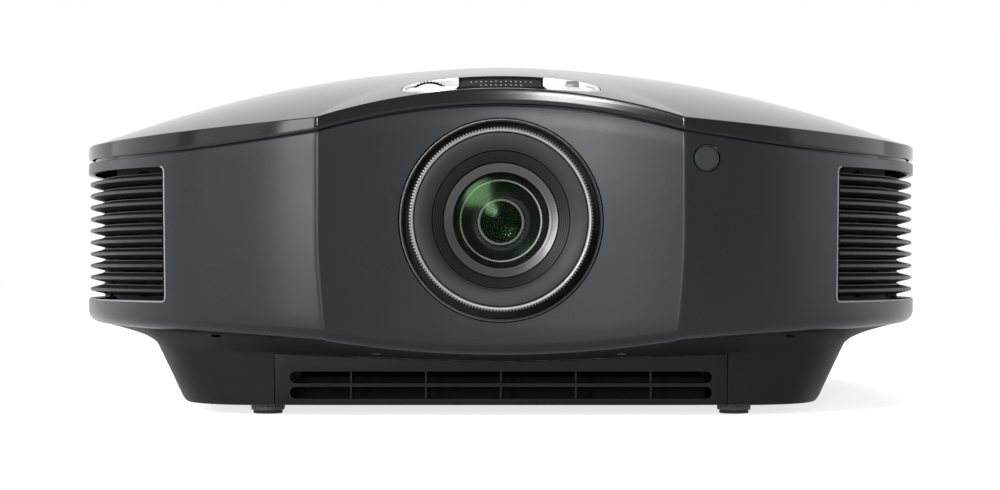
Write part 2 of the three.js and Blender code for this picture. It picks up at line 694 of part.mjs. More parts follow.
function rearCover() {
  const right = REAR_STATIONS;
  const left = REAR_STATIONS.map((s) => -s).reverse().slice(1);
  const placed = (s, [distance, z]) => inside(s > 1 ? s - 2 : s, distance, z);
  const stations = [...right, ...left.map((s) => s + 2)];
  const shell = swept(stations, (s) => wallSection(s > 1 ? s - 2 : s), placed);
  const sideWindow = box(
    [SIDE_PLATE_X - 2 * WALL, HALF_WIDTH + WALL],
    [SIDE_WINDOW_FRONT_Y, SIDE_WINDOW_REAR_Y],
    [SIDE_WINDOW_FOOT_Z, SIDE_WINDOW_TOP_Z],
  );
  const doorway = strip(
    span(-placeAt(LAMP_DOOR_FRONT_Y), -placeAt(LAMP_DOOR_REAR_Y), 5),
    [-WALL, 2 * WALL],
    [LAMP_DOOR_FOOT_Z, LAMP_DOOR_TOP_Z],
  );
  const inlet = box(
    [INLET_X - INLET_WIDTH / 2, INLET_X + INLET_WIDTH / 2],
    [REAR_Y - 6 * WALL, REAR_Y + WALL],
    [INLET_Z - INLET_HEIGHT / 2, INLET_Z + INLET_HEIGHT / 2],
  );
  const intake = box(
    [INTAKE_X - INTAKE_HALF, INTAKE_X + INTAKE_HALF],
    [REAR_Y - 6 * WALL, REAR_Y + WALL],
    [INTAKE_FOOT_Z, INTAKE_TOP_Z],
  );
  const receiver = rod("y", [REAR_IR_X, REAR_Y, REAR_IR_Z], IR_RADIUS, -6 * WALL, WALL);
  return cut(shell, [sideWindow, doorway, inlet, intake, receiver]);
}

function rearIntakeGrille() {
  const face = REAR_Y - WALL - CLEARANCE;
  const slotPitch = (INTAKE_TOP_Z - INTAKE_FOOT_Z) / INTAKE_SLOTS;
  const plate = box(
    [INTAKE_X - INTAKE_HALF - WALL, INTAKE_X + INTAKE_HALF + WALL],
    [face - 2 * WALL, face - WALL],
    [INTAKE_FOOT_Z - WALL, INTAKE_TOP_Z + WALL],
  );
  const slots = Array.from({ length: INTAKE_SLOTS }, (_, i) => {
    const z = INTAKE_FOOT_Z + (i + 0.5) * slotPitch;
    return box(
      [INTAKE_X - INTAKE_HALF + WALL, INTAKE_X + INTAKE_HALF - WALL],
      [face - 4 * WALL, face + WALL],
      [z - INTAKE_SLOT_HEIGHT / 2, z + INTAKE_SLOT_HEIGHT / 2],
    );
  });
  return cut(plate, slots);
}

function bottomTray() {
  const rimInset = HEM_RADIUS + CLEARANCE;
  const rim = (lift) => LOOP.map((s) => {
    const point = inside(s, rimInset, hemZ(s));
    point.z += lift;
    return point;
  });
  const top = (inset, lift) => LOOP.map((s) => {
    const point = basePoint(s, BASE_TOP_HALF - inset, BASE_FRONT_Y + inset, BASE_REAR_Y - inset, 0);
    point.z = baseTopZ(point.x, point.y) + lift;
    return point;
  });
  const foot = (inset, z) => LOOP.map((s) => basePoint(
    s, BASE_FOOT_HALF - inset, BASE_FRONT_Y + BASE_DRAFT + inset, BASE_REAR_Y - BASE_DRAFT - inset, z,
  ));
  const shell = capped(
    new THREE.Vector3(0, BASE_MIDDLE_Y, BASE_FOOT_Z),
    [foot(0, BASE_FOOT_Z), top(0, 0), rim(0), rim(FLOOR), top(FLOOR, FLOOR), foot(FLOOR, FLOOR_Z)],
    new THREE.Vector3(0, BASE_MIDDLE_Y, FLOOR_Z),
  );
  const bosses = footPlaces().map(([x, y]) =>
    rod("z", [x, y, 0], FOOT_RADIUS, FLOOR_Z - FLOOR / 5, FOOT_STEM_LENGTH - FLOOR));
  const bores = footPlaces().map(([x, y]) =>
    rod("z", [x, y, 0], FOOT_STEM_RADIUS + CLEARANCE, 0, 2 * FOOT_STEM_LENGTH));
  return cut(join([shell, ...bosses]), [...bores, drawerOpening()]);
}

/** The feet's places: the front pair, then the rear pair. */
function footPlaces() {
  return [FOOT_FRONT_Y, FOOT_REAR_Y].flatMap((y) => [-1, 1].map((side) => [side * FOOT_X, y]));
}

/** A solid between two heights that follows the base's front face across the drawer. */
function acrossBase(half, [near, far], zFoot, topGap) {
  const face = (x) => [
    baseFrontY(x, BASE_FOOT_HALF, BASE_FRONT_Y + BASE_DRAFT),
    baseFrontY(x, BASE_TOP_HALF, BASE_FRONT_Y),
  ];
  const section = (x) => {
    const [low, high] = face(x);
    const top = baseTopZ(x, BASE_FRONT_Y) - topGap;
    return [[low + near, zFoot], [low + far, zFoot], [high + far, top], [high + near, top]];
  };
  return swept(span(-half, half, 8), section, (x, [y, z]) => new THREE.Vector3(x, y, z));
}

const drawerOpening = () => acrossBase(DRAWER_HALF, [-FLOOR, 2 * FLOOR], -FLOOR, 0);

function filterDrawer() {
  const front = acrossBase(DRAWER_HALF - CLEARANCE, [0, FLOOR], BASE_FOOT_Z + CLEARANCE, CLEARANCE);
  const half = DRAWER_HALF - DRAWER_INSET;
  const startY = BASE_FRONT_Y + FLOOR;
  const endY = startY + DRAWER_DEPTH;
  const foot = FLOOR_Z + CLEARANCE;
  const tray = box([-half, half], [startY - FLOOR / 2, endY], [foot, foot + DRAWER_HEIGHT]);
  const bay = box(
    [DRAWER_RIM - half, half - DRAWER_RIM],
    [startY + 3 * FLOOR, endY - DRAWER_RIM],
    [foot - FLOOR, foot + DRAWER_HEIGHT + FLOOR],
  );
  const column = (2 * SLOT_HALF + SLOT_POST) / SLOT_COLUMNS;
  const slots = SLOT_ROWS_Z.flatMap((z) => Array.from({ length: SLOT_COLUMNS }, (_, i) => {
    const x = -SLOT_HALF + i * column;
    const edge = half - DRAWER_RIM - 1;
    return box(
      [Math.max(x, -edge), Math.min(x + column - SLOT_POST, edge)],
      [PANEL_Y, endY - 2 * DRAWER_RIM],
      [z - SLOT_HEIGHT / 2, z + SLOT_HEIGHT / 2],
    );
  }));
  return cut(join([front, cut(tray, [bay])]), slots);
}

function airFilter() {
  const half = DRAWER_HALF - DRAWER_INSET - DRAWER_RIM - CLEARANCE;
  const startY = BASE_FRONT_Y + 4 * FLOOR + CLEARANCE;
  const endY = BASE_FRONT_Y + FLOOR + DRAWER_DEPTH - DRAWER_RIM - CLEARANCE;
  const foot = FLOOR_Z + 2 * CLEARANCE;
  return box([-half, half], [startY, endY], [foot, foot + DRAWER_HEIGHT - DRAWER_RIM]);
}

function lensBezel() {
  const outer = OPENING_RADIUS - CLEARANCE;
  const inner = OPENING_RADIUS - BEZEL_LIP;
  return ring("y", [0, PANEL_Y, LENS_Z], inner, outer, 0, BEZEL_DEPTH);
}

const receiverWindow = (x, y, z) => rod("y", [x, y, z], IR_RADIUS - CLEARANCE, 0, IR_THICKNESS);

// ---- Recess and dials -----------------------------------------------------------------------------

function recessTray() {
  const floorFoot = RECESS_FLOOR_Z - RECESS_WALL;
  const outer = prism(recessOutline(CLEARANCE), floorFoot, LID_PEAK_Z).intersect(underLid(CLEARANCE));
  const hollow = prism(recessOutline(CLEARANCE + RECESS_WALL), RECESS_FLOOR_Z, LID_PEAK_Z);
  const [long, wide] = [DIAL_RADIUS + RUNNING_GAP, DIAL_THICKNESS / 2 + RUNNING_GAP];
  const slot = (x, halfX, halfY) => box(
    [x - halfX, x + halfX],
    [DIAL_Y - halfY, DIAL_Y + halfY],
    [floorFoot - 1, RECESS_FLOOR_Z + DIAL_NOTCH],
  );
  return cut(outer, [hollow, slot(-DIAL_X, long, wide), slot(DIAL_X, wide, long)]);
}

function dialIsland() {
  const block = prism(recessOutline(2 * CLEARANCE + RECESS_WALL), RECESS_FLOOR_Z + CLEARANCE, LID_PEAK_Z);
  const middle = box([-ISLAND_HALF, ISLAND_HALF], [PANEL_Y, 0], [RECESS_FLOOR_Z, LID_PEAK_Z]);
  return block.intersect(middle).intersect(underLid(ISLAND_DROP));
}

/** A dial with its shaft and bevel gear; the gear's cone meets the screw's on the shared point. */
function shiftDial(axis, reach) {
  const half = DIAL_THICKNESS / 2;
  const bevelStart = reach - BEVEL_RADIUS - BEVEL_LENGTH - CLEARANCE;
  const bevelEnd = bevelStart + BEVEL_LENGTH;
  const face = DIAL_RADIUS - DIAL_BEVEL;
  const profile = [
    [0, -half], [face, -half], [DIAL_RADIUS, DIAL_BEVEL - half], [DIAL_RADIUS, half - DIAL_BEVEL],
    [face, half], [DIAL_SHAFT_RADIUS, half], [DIAL_SHAFT_RADIUS, bevelStart],
    [BEVEL_RADIUS + BEVEL_LENGTH / 2, bevelStart], [BEVEL_RADIUS - BEVEL_LENGTH / 2, bevelEnd], [0, bevelEnd],
  ];
  const side = axis === "y" ? -1 : 1;
  return turned(axis, [side * DIAL_X, DIAL_Y, DIAL_Z], profile, 24);
}

/** A screw from its bevel gear at the start of its axis; length and place run away from the gear. */
function shiftScrew(axis, place, length, direction) {
  const start = BEVEL_RADIUS + CLEARANCE;
  const end = start + BEVEL_LENGTH;
  const profile = [
    [0, start], [BEVEL_RADIUS - BEVEL_LENGTH / 2, start], [BEVEL_RADIUS + BEVEL_LENGTH / 2, end],
    [SCREW_RADIUS, end], [SCREW_RADIUS, length], [0, length],
  ];
  return turned(axis, place, profile.map(([radius, along]) => [radius, direction * along]), 16);
}

const nutHole = (axis, place) => rod(axis, place, SCREW_RADIUS + CLEARANCE, -THROUGH, THROUGH, 16);

function horizontalNut() {
  const place = [NUT_X, HORIZONTAL_SCREW_Y, DIAL_Z];
  const block = box(
    [NUT_X - NUT_HALF, NUT_X + NUT_HALF],
    [HORIZONTAL_SCREW_Y - NUT_HALF, HORIZONTAL_SCREW_Y + NUT_HALF - RUNNING_GAP],
    [DIAL_Z - NUT_HALF, DIAL_Z + NUT_HALF],
  );
  const arm = box(
    [NUT_X - NUT_ARM_HALF, NUT_X + NUT_ARM_HALF],
    [HORIZONTAL_SCREW_Y + NUT_HALF - 1, CARRIAGE_Y + CARRIAGE_THICKNESS],
    [NUT_ARM_FOOT_Z, DIAL_Z + NUT_HALF - 1],
  );
  return cut(join([block, arm]), [nutHole("x", place)]);
}

/** A flat plate across the lens axis with a round hole. */
function lensPlate(x, z, y, thickness, hole) {
  const plate = box(x, [y, y + thickness], z);
  return cut(plate, [rod("y", [0, y, LENS_Z], hole, -thickness, 2 * thickness, RING_SEGMENTS)]);
}

function horizontalCarriage() {
  const rim = BARREL_RADIUS + CARRIAGE_RIM;
  const x = [NUT_X - 2 * CARRIAGE_RIM, rim + CARRIAGE_RIM];
  const hole = BARREL_RADIUS + CLEARANCE;
  const plate = lensPlate(x, [LENS_Z - rim, LENS_Z + rim], CARRIAGE_Y, CARRIAGE_THICKNESS, hole);
  const slot = box(
    [NUT_X - NUT_ARM_HALF - CLEARANCE, NUT_X + NUT_ARM_HALF + CLEARANCE],
    [CARRIAGE_Y - 1, CARRIAGE_Y + CARRIAGE_THICKNESS + 1],
    [NUT_ARM_FOOT_Z - SHIFT_Z - RUNNING_GAP, LENS_Z + rim + THROUGH],
  );
  return cut(plate, [slot]);
}

/** Y range of the vertical carriage's plate. */
const secondPlate = () => [CARRIAGE_2_Y, CARRIAGE_2_Y + CARRIAGE_THICKNESS];

function verticalCarriage() {
  const hole = BARREL_RADIUS + SHIFT_X + RUNNING_GAP;
  const rim = hole + CARRIAGE_RIM;
  const x = [NUT_X - 3 * CARRIAGE_RIM, rim];
  const plate = lensPlate(x, [LENS_Z - rim, LENS_Z + rim], CARRIAGE_2_Y, CARRIAGE_THICKNESS, hole);
  const height = [LENS_Z + ARM_RISE, LENS_Z + ARM_RISE + ARM_HEIGHT];
  const armX = [VERTICAL_SCREW_X - NUT_HALF, VERTICAL_SCREW_X + NUT_HALF];
  const arm = box(armX, [DIAL_Y - NUT_HALF, secondPlate()[1]], height);
  const root = box([hole, VERTICAL_SCREW_X], secondPlate(), height);
  return cut(join([plate, arm, root]), [nutHole("z", [VERTICAL_SCREW_X, DIAL_Y, LENS_Z])]);
}

function lensGuideFrame() {
  const hole = BARREL_RADIUS + SHIFT_Z + SHIFT_X / 2 + RUNNING_GAP;
  const x = [-GUIDE_FRAME_HALF, GUIDE_FRAME_HALF];
  const z = [FLOOR_Z + RUNNING_GAP, GUIDE_FRAME_TOP_Z];
  const plate = lensPlate(x, z, FRAME_Y, CARRIAGE_THICKNESS, hole);
  const top = VERTICAL_SCREW_FOOT_Z - CLEARANCE;
  const bearing = box(
    [VERTICAL_SCREW_X - NUT_HALF, VERTICAL_SCREW_X + NUT_HALF],
    [DIAL_Y - NUT_HALF, FRAME_Y + 1],
    [top - NUT_HALF, top],
  );
  return join([plate, bearing]);
}

// ---- Lens -----------------------------------------------------------------------------------------

const lensPlace = [0, RING_FRONT_Y, LENS_Z];

function focusRing() {
  const bevel = 0.5;
  const profile = [
    [FOCUS_RING_INNER, 0], [FOCUS_RING_RADIUS - bevel, 0], [FOCUS_RING_RADIUS, bevel],
    [FOCUS_RING_RADIUS, FOCUS_RING_LENGTH], [FOCUS_RING_INNER, FOCUS_RING_LENGTH], [FOCUS_RING_INNER, 0],
  ];
  return turned("y", lensPlace, profile, RING_SEGMENTS);
}

function zoomRing() {
  const start = FOCUS_RING_LENGTH + RUNNING_GAP;
  return ring("y", lensPlace, BARREL_RADIUS + CLEARANCE, ZOOM_RING_RADIUS, start, start + ZOOM_RING_LENGTH);
}

/** The fixed dark face inside the focus ring, its ribbed cone and the cell that holds the front lens. */
function lensHood() {
  const outer = FOCUS_RING_INNER - CLEARANCE;
  const cellRadius = FRONT_LENS_RADIUS + CLEARANCE;
  const cellOuter = CONE_INNER + SEAT_STEP;
  const cellEnd = LENS_SEAT + FRONT_LENS_THICKNESS;
  const neck = BARREL_RADIUS - BARREL_WALL - CLEARANCE;
  const profile = [
    [FACE_INNER, 2 * HOOD_SINK], [FACE_INNER + HOOD_SINK / 2, HOOD_SINK], [outer, HOOD_SINK],
    [outer, FOCUS_RING_LENGTH], [neck, FOCUS_RING_LENGTH], [cellOuter, CONE_DEPTH], [cellOuter, cellEnd],
    [cellRadius, cellEnd], [cellRadius, LENS_SEAT], [FRONT_LENS_VIEW, LENS_SEAT],
    [CONE_INNER, CONE_DEPTH], [FACE_INNER, 2 * HOOD_SINK],
  ];
  return turned("y", lensPlace, profile, RING_SEGMENTS);
}

function lensBarrel() {
  const start = FOCUS_RING_LENGTH + CLEARANCE;
  const bore = BARREL_RADIUS - BARREL_WALL;
  return ring("y", lensPlace, bore, BARREL_RADIUS, start, start + BARREL_LENGTH);
}

/** A lens element, bulging at the front and less at the back. */
function lensElement(radius, depth, thickness, frontBulge, backBulge) {
  const arc = (bulge, base, reverse) => {
    const steps = span(0, 1, 3);
    const points = steps.map((share) => [radius * share, base + bulge * (1 - share ** 2)]);
    return reverse ? points.reverse() : points;
  };
  const front = arc(-frontBulge, depth + frontBulge, false);
  const back = arc(backBulge, depth + thickness - backBulge, true);
  return turned("y", lensPlace, [...front, ...back], 24);
}

function frontLens() {
  const thickness = FRONT_LENS_THICKNESS - 2 * CLEARANCE;
  return lensElement(FRONT_LENS_RADIUS, LENS_SEAT + CLEARANCE, thickness, 2, 1);
}

function rearLens() {
  const radius = BARREL_RADIUS - BARREL_WALL - CLEARANCE;
  return lensElement(radius, REAR_LENS_DEPTH, REAR_LENS_THICKNESS, 2.6, 1.4);
}

function apertureRing() {
  const outer = BARREL_RADIUS - BARREL_WALL - CLEARANCE;
  const end = APERTURE_DEPTH + APERTURE_THICKNESS;
  return ring("y", lensPlace, APERTURE_RADIUS, outer, APERTURE_DEPTH, end, 24);
}

function lensShield() {
  const start = LENS_STANDOUT + BEZEL_DEPTH + SHIELD_GAP;
  return ring("y", lensPlace, BARREL_RADIUS + CLEARANCE, SHIELD_RADIUS, start, start + SHIELD_THICKNESS);
}

// ---- Feet -----------------------------------------------------------------------------------------

const KNOB_TOP_Z = BASE_FOOT_Z - CLEARANCE;

/** A pad on a threaded stem. */
function footPad([x, y]) {
  const padRadius = FOOT_RADIUS - PAD_INSET;
  const profile = [
    [0, 0], [padRadius, 0], [padRadius, FOOT_PAD_HEIGHT], [FOOT_STEM_RADIUS, FOOT_PAD_HEIGHT],
    [FOOT_STEM_RADIUS, FOOT_STEM_LENGTH], [0, FOOT_STEM_LENGTH],
  ];
  return turned("z", [x, y, 0], profile);
}

function footKnob([x, y]) {
  const inner = FOOT_STEM_RADIUS + CLEARANCE;
  return ring("z", [x, y, 0], inner, FOOT_RADIUS, FOOT_PAD_HEIGHT + CLEARANCE, KNOB_TOP_Z, 24);
}

function fixedFoot([x, y]) {
  const profile = [
    [0, 0], [FOOT_RADIUS - FOOT_BEVEL, 0], [FOOT_RADIUS, FOOT_BEVEL], [FOOT_RADIUS, KNOB_TOP_Z],
    [FOOT_STEM_RADIUS, KNOB_TOP_Z], [FOOT_STEM_RADIUS, FOOT_STEM_LENGTH / 2], [0, FOOT_STEM_LENGTH / 2],
  ];
  return turned("z", [x, y, 0], profile);
}

// ---- Side panel -----------------------------------------------------------------------------------

const PLATE_BACK_X = SIDE_PLATE_X - SIDE_PLATE_THICKNESS;

const alongPlate = (distance) => SIDE_WINDOW_FRONT_Y + distance;

// Each socket: its middle along the side and its height, then its width along the side and its own height.
const SOCKETS = {
  hdmi_socket_upper: { y: alongPlate(14), z: 78, width: 15, height: 6.4, kind: "slit" },
  hdmi_socket_lower: { y: alongPlate(14), z: 63, width: 15, height: 6.4, kind: "slit" },
  vga_socket: { y: alongPlate(42), z: 78, width: 18, height: 9.6, kind: "shell" },
  serial_socket: { y: alongPlate(42), z: 63, width: 18, height: 9.6, kind: "shell" },
  network_socket: { y: alongPlate(68), z: 70, width: 15.8, height: 13.4, kind: "mouth" },
  component_sockets: { y: alongPlate(99), z: 70, width: 32, height: 11, kind: "jacks" },
};

/** A box on the side panel from its middle, its size and its depths from the plate's face. */
function sideBox({ y, z }, width, height, [inner, outer]) {
  return box(
    [SIDE_PLATE_X + inner, SIDE_PLATE_X + outer],
    [y - width / 2, y + width / 2],
    [z - height / 2, z + height / 2],
  );
}

function socket(spec) {
  const { y, z, width, height, kind } = spec;
  const body = sideBox(spec, width, height, [-SOCKET_DEPTH, SOCKET_STANDOUT]);
  const hollow = (wall) => sideBox(
    spec, width - 2 * wall, height - 2 * wall, [2 * wall - SOCKET_DEPTH, THROUGH],
  );
  if (kind === "slit") {
    const depth = [SOCKET_SKIN - SOCKET_DEPTH, -SOCKET_SKIN];
    const tongue = sideBox(spec, width - 4 * SOCKET_SKIN, SLIT_TONGUE, depth);
    return join([cut(body, [hollow(SOCKET_SKIN)]), tongue]);
  }
  if (kind === "shell") {
    const inset = 2 * SOCKET_SKIN;
    return join([body, sideBox(spec, width - inset, height - inset, [-SOCKET_SKIN, COLLAR_STANDOUT])]);
  }
  if (kind === "mouth") return cut(body, [hollow(NETWORK_WALL)]);
  const jacks = [-1, 0, 1].map((i) => {
    const place = [SIDE_PLATE_X, y + i * JACK_PITCH, z];
    const barrel = rod("x", place, JACK_RADIUS, -1, JACK_STANDOUT);
    return cut(barrel, [rod("x", place, JACK_BORE, -SOCKET_DEPTH / 2, JACK_STANDOUT + 1)]);
  });
  return join([body, ...jacks]);
}

// Buttons: their middles along the side. The stick is the fourth control of the row.
const BUTTONS = { power_button: alongPlate(16), input_button: alongPlate(32), menu_button: alongPlate(48) };
const STICK_Y = alongPlate(76);
const STICK_OPENING = 7;
const STICK_RADIUS = 5.4;
const STICK_STEM_RADIUS = 1.6;
const STICK_STANDOUT = 3.6;
const STICK_PIVOT_DEPTH = 8;
const GIMBAL_THICKNESS = 2;
const GIMBAL_WIDTH = 2.2;

function sideButton(y) {
  const flangeTop = -SIDE_PLATE_THICKNESS - CLEARANCE;
  const flangeFoot = flangeTop - BUTTON_FLANGE;
  const [stem, flange] = [BUTTON_RADIUS - 1, BUTTON_RADIUS + 1];
  return turned("x", [SIDE_PLATE_X, y, BUTTON_ROW_Z], [
    [0, -BUTTON_DEPTH], [stem, -BUTTON_DEPTH], [stem, flangeFoot], [flange, flangeFoot], [flange, flangeTop],
    [BUTTON_RADIUS, flangeTop], [BUTTON_RADIUS, BUTTON_STANDOUT - BUTTON_BEVEL],
    [BUTTON_RADIUS - BUTTON_BEVEL, BUTTON_STANDOUT], [0, BUTTON_STANDOUT],
  ]);
}

/** The stick's cap on its stem, which tilts about a pivot behind the plate. */
function stickCap() {
  const [stem, cap, top] = [STICK_STEM_RADIUS, STICK_RADIUS, STICK_STANDOUT];
  return turned("x", [SIDE_PLATE_X, STICK_Y, BUTTON_ROW_Z], [
    [0, -STICK_PIVOT_DEPTH], [stem, -STICK_PIVOT_DEPTH], [stem, top / 4], [cap - 0.4, top / 2],
    [cap, top * 0.72], [cap - 0.8, top], [stem, top * 0.84], [0, top * 0.8],
  ]);
}

/** The ring that carries the stick and tilts the other way. */
function stickGimbal() {
  const inner = STICK_STEM_RADIUS + RUNNING_GAP + CLEARANCE;
  const back = -STICK_PIVOT_DEPTH - GIMBAL_THICKNESS / 2;
  const place = [SIDE_PLATE_X, STICK_Y, BUTTON_ROW_Z];
  return ring("x", place, inner, inner + GIMBAL_WIDTH, back, back + GIMBAL_THICKNESS, 20);
}

function connectorPanel() {
  const plate = box(
    [PLATE_BACK_X, SIDE_PLATE_X],
    [SIDE_WINDOW_FRONT_Y - SIDE_PLATE_LAP, SIDE_WINDOW_REAR_Y + SIDE_PLATE_LAP],
    [SIDE_WINDOW_FOOT_Z - SIDE_PLATE_LAP, SIDE_WINDOW_TOP_Z + SIDE_PLATE_TOP_LAP],
  );
  const sockets = Object.values(SOCKETS).map((spec) =>
    sideBox(spec, spec.width + 2 * CLEARANCE, spec.height + 2 * CLEARANCE, [-THROUGH, THROUGH]));
  const bores = Object.values(BUTTONS).map((y) =>
    rod("x", [SIDE_PLATE_X, y, BUTTON_ROW_Z], BUTTON_RADIUS + CLEARANCE, -THROUGH, THROUGH));
  const stick = rod("x", [SIDE_PLATE_X, STICK_Y, BUTTON_ROW_Z], STICK_OPENING, -THROUGH, THROUGH);
  return cut(plate, [...sockets, ...bores, stick]);
}

function mainBoard() {
  const face = SIDE_PLATE_X - SOCKET_DEPTH - CLEARANCE;
  const height = [SIDE_WINDOW_FOOT_Z - BOARD_LAP, SIDE_WINDOW_TOP_Z + BOARD_LAP];
  return box([face - BOARD_THICKNESS, face], [SIDE_WINDOW_FRONT_Y, SIDE_WINDOW_REAR_Y], height);
}

// ---- Lamp door and mains inlet --------------------------------------------------------------------

function lampDoor() {
  const from = -placeAt(LAMP_DOOR_FRONT_Y + DOOR_GAP);
  const to = -placeAt(LAMP_DOOR_REAR_Y - DOOR_GAP);
  const height = [LAMP_DOOR_FOOT_Z + DOOR_GAP, LAMP_DOOR_TOP_Z - DOOR_GAP];
  return strip(span(from, to, 5), [0, LAMP_DOOR_THICKNESS], height);
}

function mainsInlet() {
  const y = REAR_Y - WALL;
  const [halfX, halfZ] = [INLET_WIDTH / 2 - CLEARANCE, INLET_HEIGHT / 2 - CLEARANCE];
  const back = y - INLET_DEPTH;
  const block = (wall, from, to) => box(
    [INLET_X - halfX + wall, INLET_X + halfX - wall],
    [from, to],
    [INLET_Z - halfZ + wall, INLET_Z + halfZ - wall],
  );
  const shell = block(0, back, y + 1);
  const mouth = block(INLET_WALL, back + INLET_WALL, y + THROUGH);
  const pinPlaces = [[-PIN_PITCH, PIN_RISE], [0, EARTH_RISE], [PIN_PITCH, PIN_RISE]];
  const pins = pinPlaces.map(([dx, dz]) => box(
    [INLET_X + dx - PIN_HALF_WIDTH, INLET_X + dx + PIN_HALF_WIDTH],
    [back + 1, back + 1 + PIN_LENGTH],
    [INLET_Z + dz - PIN_HALF_HEIGHT, INLET_Z + dz + PIN_HALF_HEIGHT],
  ));
  return join([cut(shell, [mouth]), ...pins]);
}

// ---- Inside ---------------------------------------------------------------------------------------

/** Turns a piece made round the Y axis at the origin to a fan's place and heading. */
function atFan(body, side) {
  return body.rotate([0, 0, side * FAN_TURN]).translate([side * FAN_X, FAN_Y, FAN_Z]);
}

function exhaustFan(side) {
  const half = FAN_SIZE / 2;
  const frame = box([-half, half], [-FAN_DEPTH / 2, FAN_DEPTH / 2], [-half, half]);
  const bore = rod("y", [0, 0, 0], FAN_BORE, -FAN_DEPTH, FAN_DEPTH, 24);
  const [from, to] = [FAN_DEPTH / 2 - SPIDER_THICKNESS, FAN_DEPTH / 2];
  const arm = [-FAN_BORE - 1, FAN_BORE + 1];
  const width = [-SPIDER_HALF_WIDTH, SPIDER_HALF_WIDTH];
  const spider = [
    box(arm, [from, to], width),
    box(width, [from, to], arm),
    rod("y", [0, 0, 0], HUB_RADIUS, from, to),
  ];
  return atFan(join([cut(frame, [bore]), ...spider]), side);
}

function fanRotor(side) {
  const hubFrom = SPIDER_THICKNESS - FAN_DEPTH / 2;
  const hubTo = FAN_DEPTH / 2 - SPIDER_THICKNESS - 1;
  const hub = rod("y", [0, 0, 0], HUB_RADIUS - 1, hubFrom, hubTo);
  const blade = box(
    [HUB_RADIUS - 2, FAN_BORE - BLADE_TIP_GAP],
    [-BLADE_THICKNESS / 2, BLADE_THICKNESS / 2],
    [-BLADE_HALF_CHORD, BLADE_HALF_CHORD],
  ).rotate([90 - BLADE_PITCH, 0, 0]);
  const blades = Array.from({ length: BLADE_COUNT }, (_, i) => blade.rotate([0, (i * 360) / BLADE_COUNT, 0]));
  return atFan(join([hub, ...blades]), side);
}

function opticalEngine() {
  const front = RING_FRONT_Y + FOCUS_RING_LENGTH + CLEARANCE + BARREL_LENGTH + ENGINE_GAP;
  return box(
    [-ENGINE_HALF_WIDTH, ENGINE_HALF_WIDTH],
    [front, ENGINE_REAR_Y],
    [LENS_Z - ENGINE_HALF_HEIGHT, LENS_Z + ENGINE_HALF_HEIGHT],
  );
}

/** A block on the tray's floor between two places across the object. */
const floorBlock = (x) => box(x, [SUPPLY_FRONT_Y, SUPPLY_REAR_Y], [FLOOR_Z + CLEARANCE, SUPPLY_TOP_Z]);
const lampBallast = () => floorBlock([-SUPPLY_HALF, SUPPLY_SPLIT_X]);
const powerSupply = () => floorBlock([SUPPLY_SPLIT_X + SUPPLY_SPACE, SUPPLY_HALF]);

const REFLECTOR_X = -ENGINE_HALF_WIDTH - REFLECTOR_GAP - REFLECTOR_DEPTH;

function lampHousing() {
  return box(
    [LAMP_GAP - HALF_WIDTH, REFLECTOR_X - REFLECTOR_SPACE],
    [LAMP_DOOR_FRONT_Y + LAMP_INSET, LAMP_DOOR_REAR_Y - LAMP_INSET],
    [LAMP_DOOR_FOOT_Z - LAMP_LAP, LAMP_DOOR_TOP_Z + LAMP_LAP],
  );
}

/** A bowl that opens towards the optical engine, with a hole in its neck for the burner. */
function lampReflector() {
  const [rim, deep, neck, wall] = [REFLECTOR_RADIUS, REFLECTOR_DEPTH, REFLECTOR_NECK, REFLECTOR_WALL];
  const middle = [rim * 0.62, deep / 3];
  const profile = [
    [neck, 0], middle, [rim - wall, deep], [rim, deep],
    [middle[0] + wall, middle[1] - wall], [neck + wall, -wall], [neck, -wall], [neck, 0],
  ];
  const y = (LAMP_DOOR_FRONT_Y + LAMP_DOOR_REAR_Y) / 2;
  const z = (LAMP_DOOR_FOOT_Z + LAMP_DOOR_TOP_Z) / 2;
  return turned("x", [REFLECTOR_X, y, z], profile, 28);
}

// ---- Materials ------------------------------------------------------------------------------------

function finish(color, roughness, metalness = 0) {
  return new THREE.MeshStandardMaterial({ color, roughness, metalness });
}

const SATIN_GREY = finish(0x2b2d31, 0.45);
const GLOSS_BLACK = finish(0x0c0c0e, 0.12);
const DARK_GREY = finish(0x1e1f21, 0.55);
const BLACK = finish(0x0a0a0b, 0.6);
const SILVER = finish(0xb9bbbe, 0.3, 1);
const STEEL = finish(0x8c8f93, 0.35, 1);
const RUBBER = finish(0x151515, 0.9);
const GLASS = finish(0x1d3a2c, 0.05);
const BOARD = finish(0x14512f, 0.5);
const FILTER = finish(0x5a5a58, 0.95);
const BRASS = finish(0xb08a45, 0.35, 1);

// ---- Assembly -------------------------------------------------------------------------------------

const projector = new THREE.Group();
projector.name = "home_projector";

function add(name, body, material) {
  const mesh = new THREE.Mesh(geometryOf(body), material);
  mesh.name = name;
  projector.add(mesh);
}

add("top_cover", topCover(), GLOSS_BLACK);
add("front_panel", frontPanel(), SATIN_GREY);
add("rear_cover", rearCover(), SATIN_GREY);
add("bottom_tray", bottomTray(), DARK_GREY);
add("exhaust_grille_left", exhaustGrille(-1), BLACK);
add("exhaust_grille_right", exhaustGrille(1), BLACK);
add("rear_intake_grille", rearIntakeGrille(), BLACK);
add("filter_drawer", filterDrawer(), DARK_GREY);
add("air_filter", airFilter(), FILTER);
add("lens_bezel", lensBezel(), BLACK);
add("ir_window_front", receiverWindow(IR_X, wingY(IR_X) + IR_SINK, IR_Z), GLOSS_BLACK);
const rearWindowY = REAR_Y - WALL - IR_THICKNESS;
add("ir_window_rear", receiverWindow(REAR_IR_X, rearWindowY, REAR_IR_Z), GLOSS_BLACK);
add("dial_recess_tray", recessTray(), SILVER);
add("dial_island", dialIsland(), BLACK);

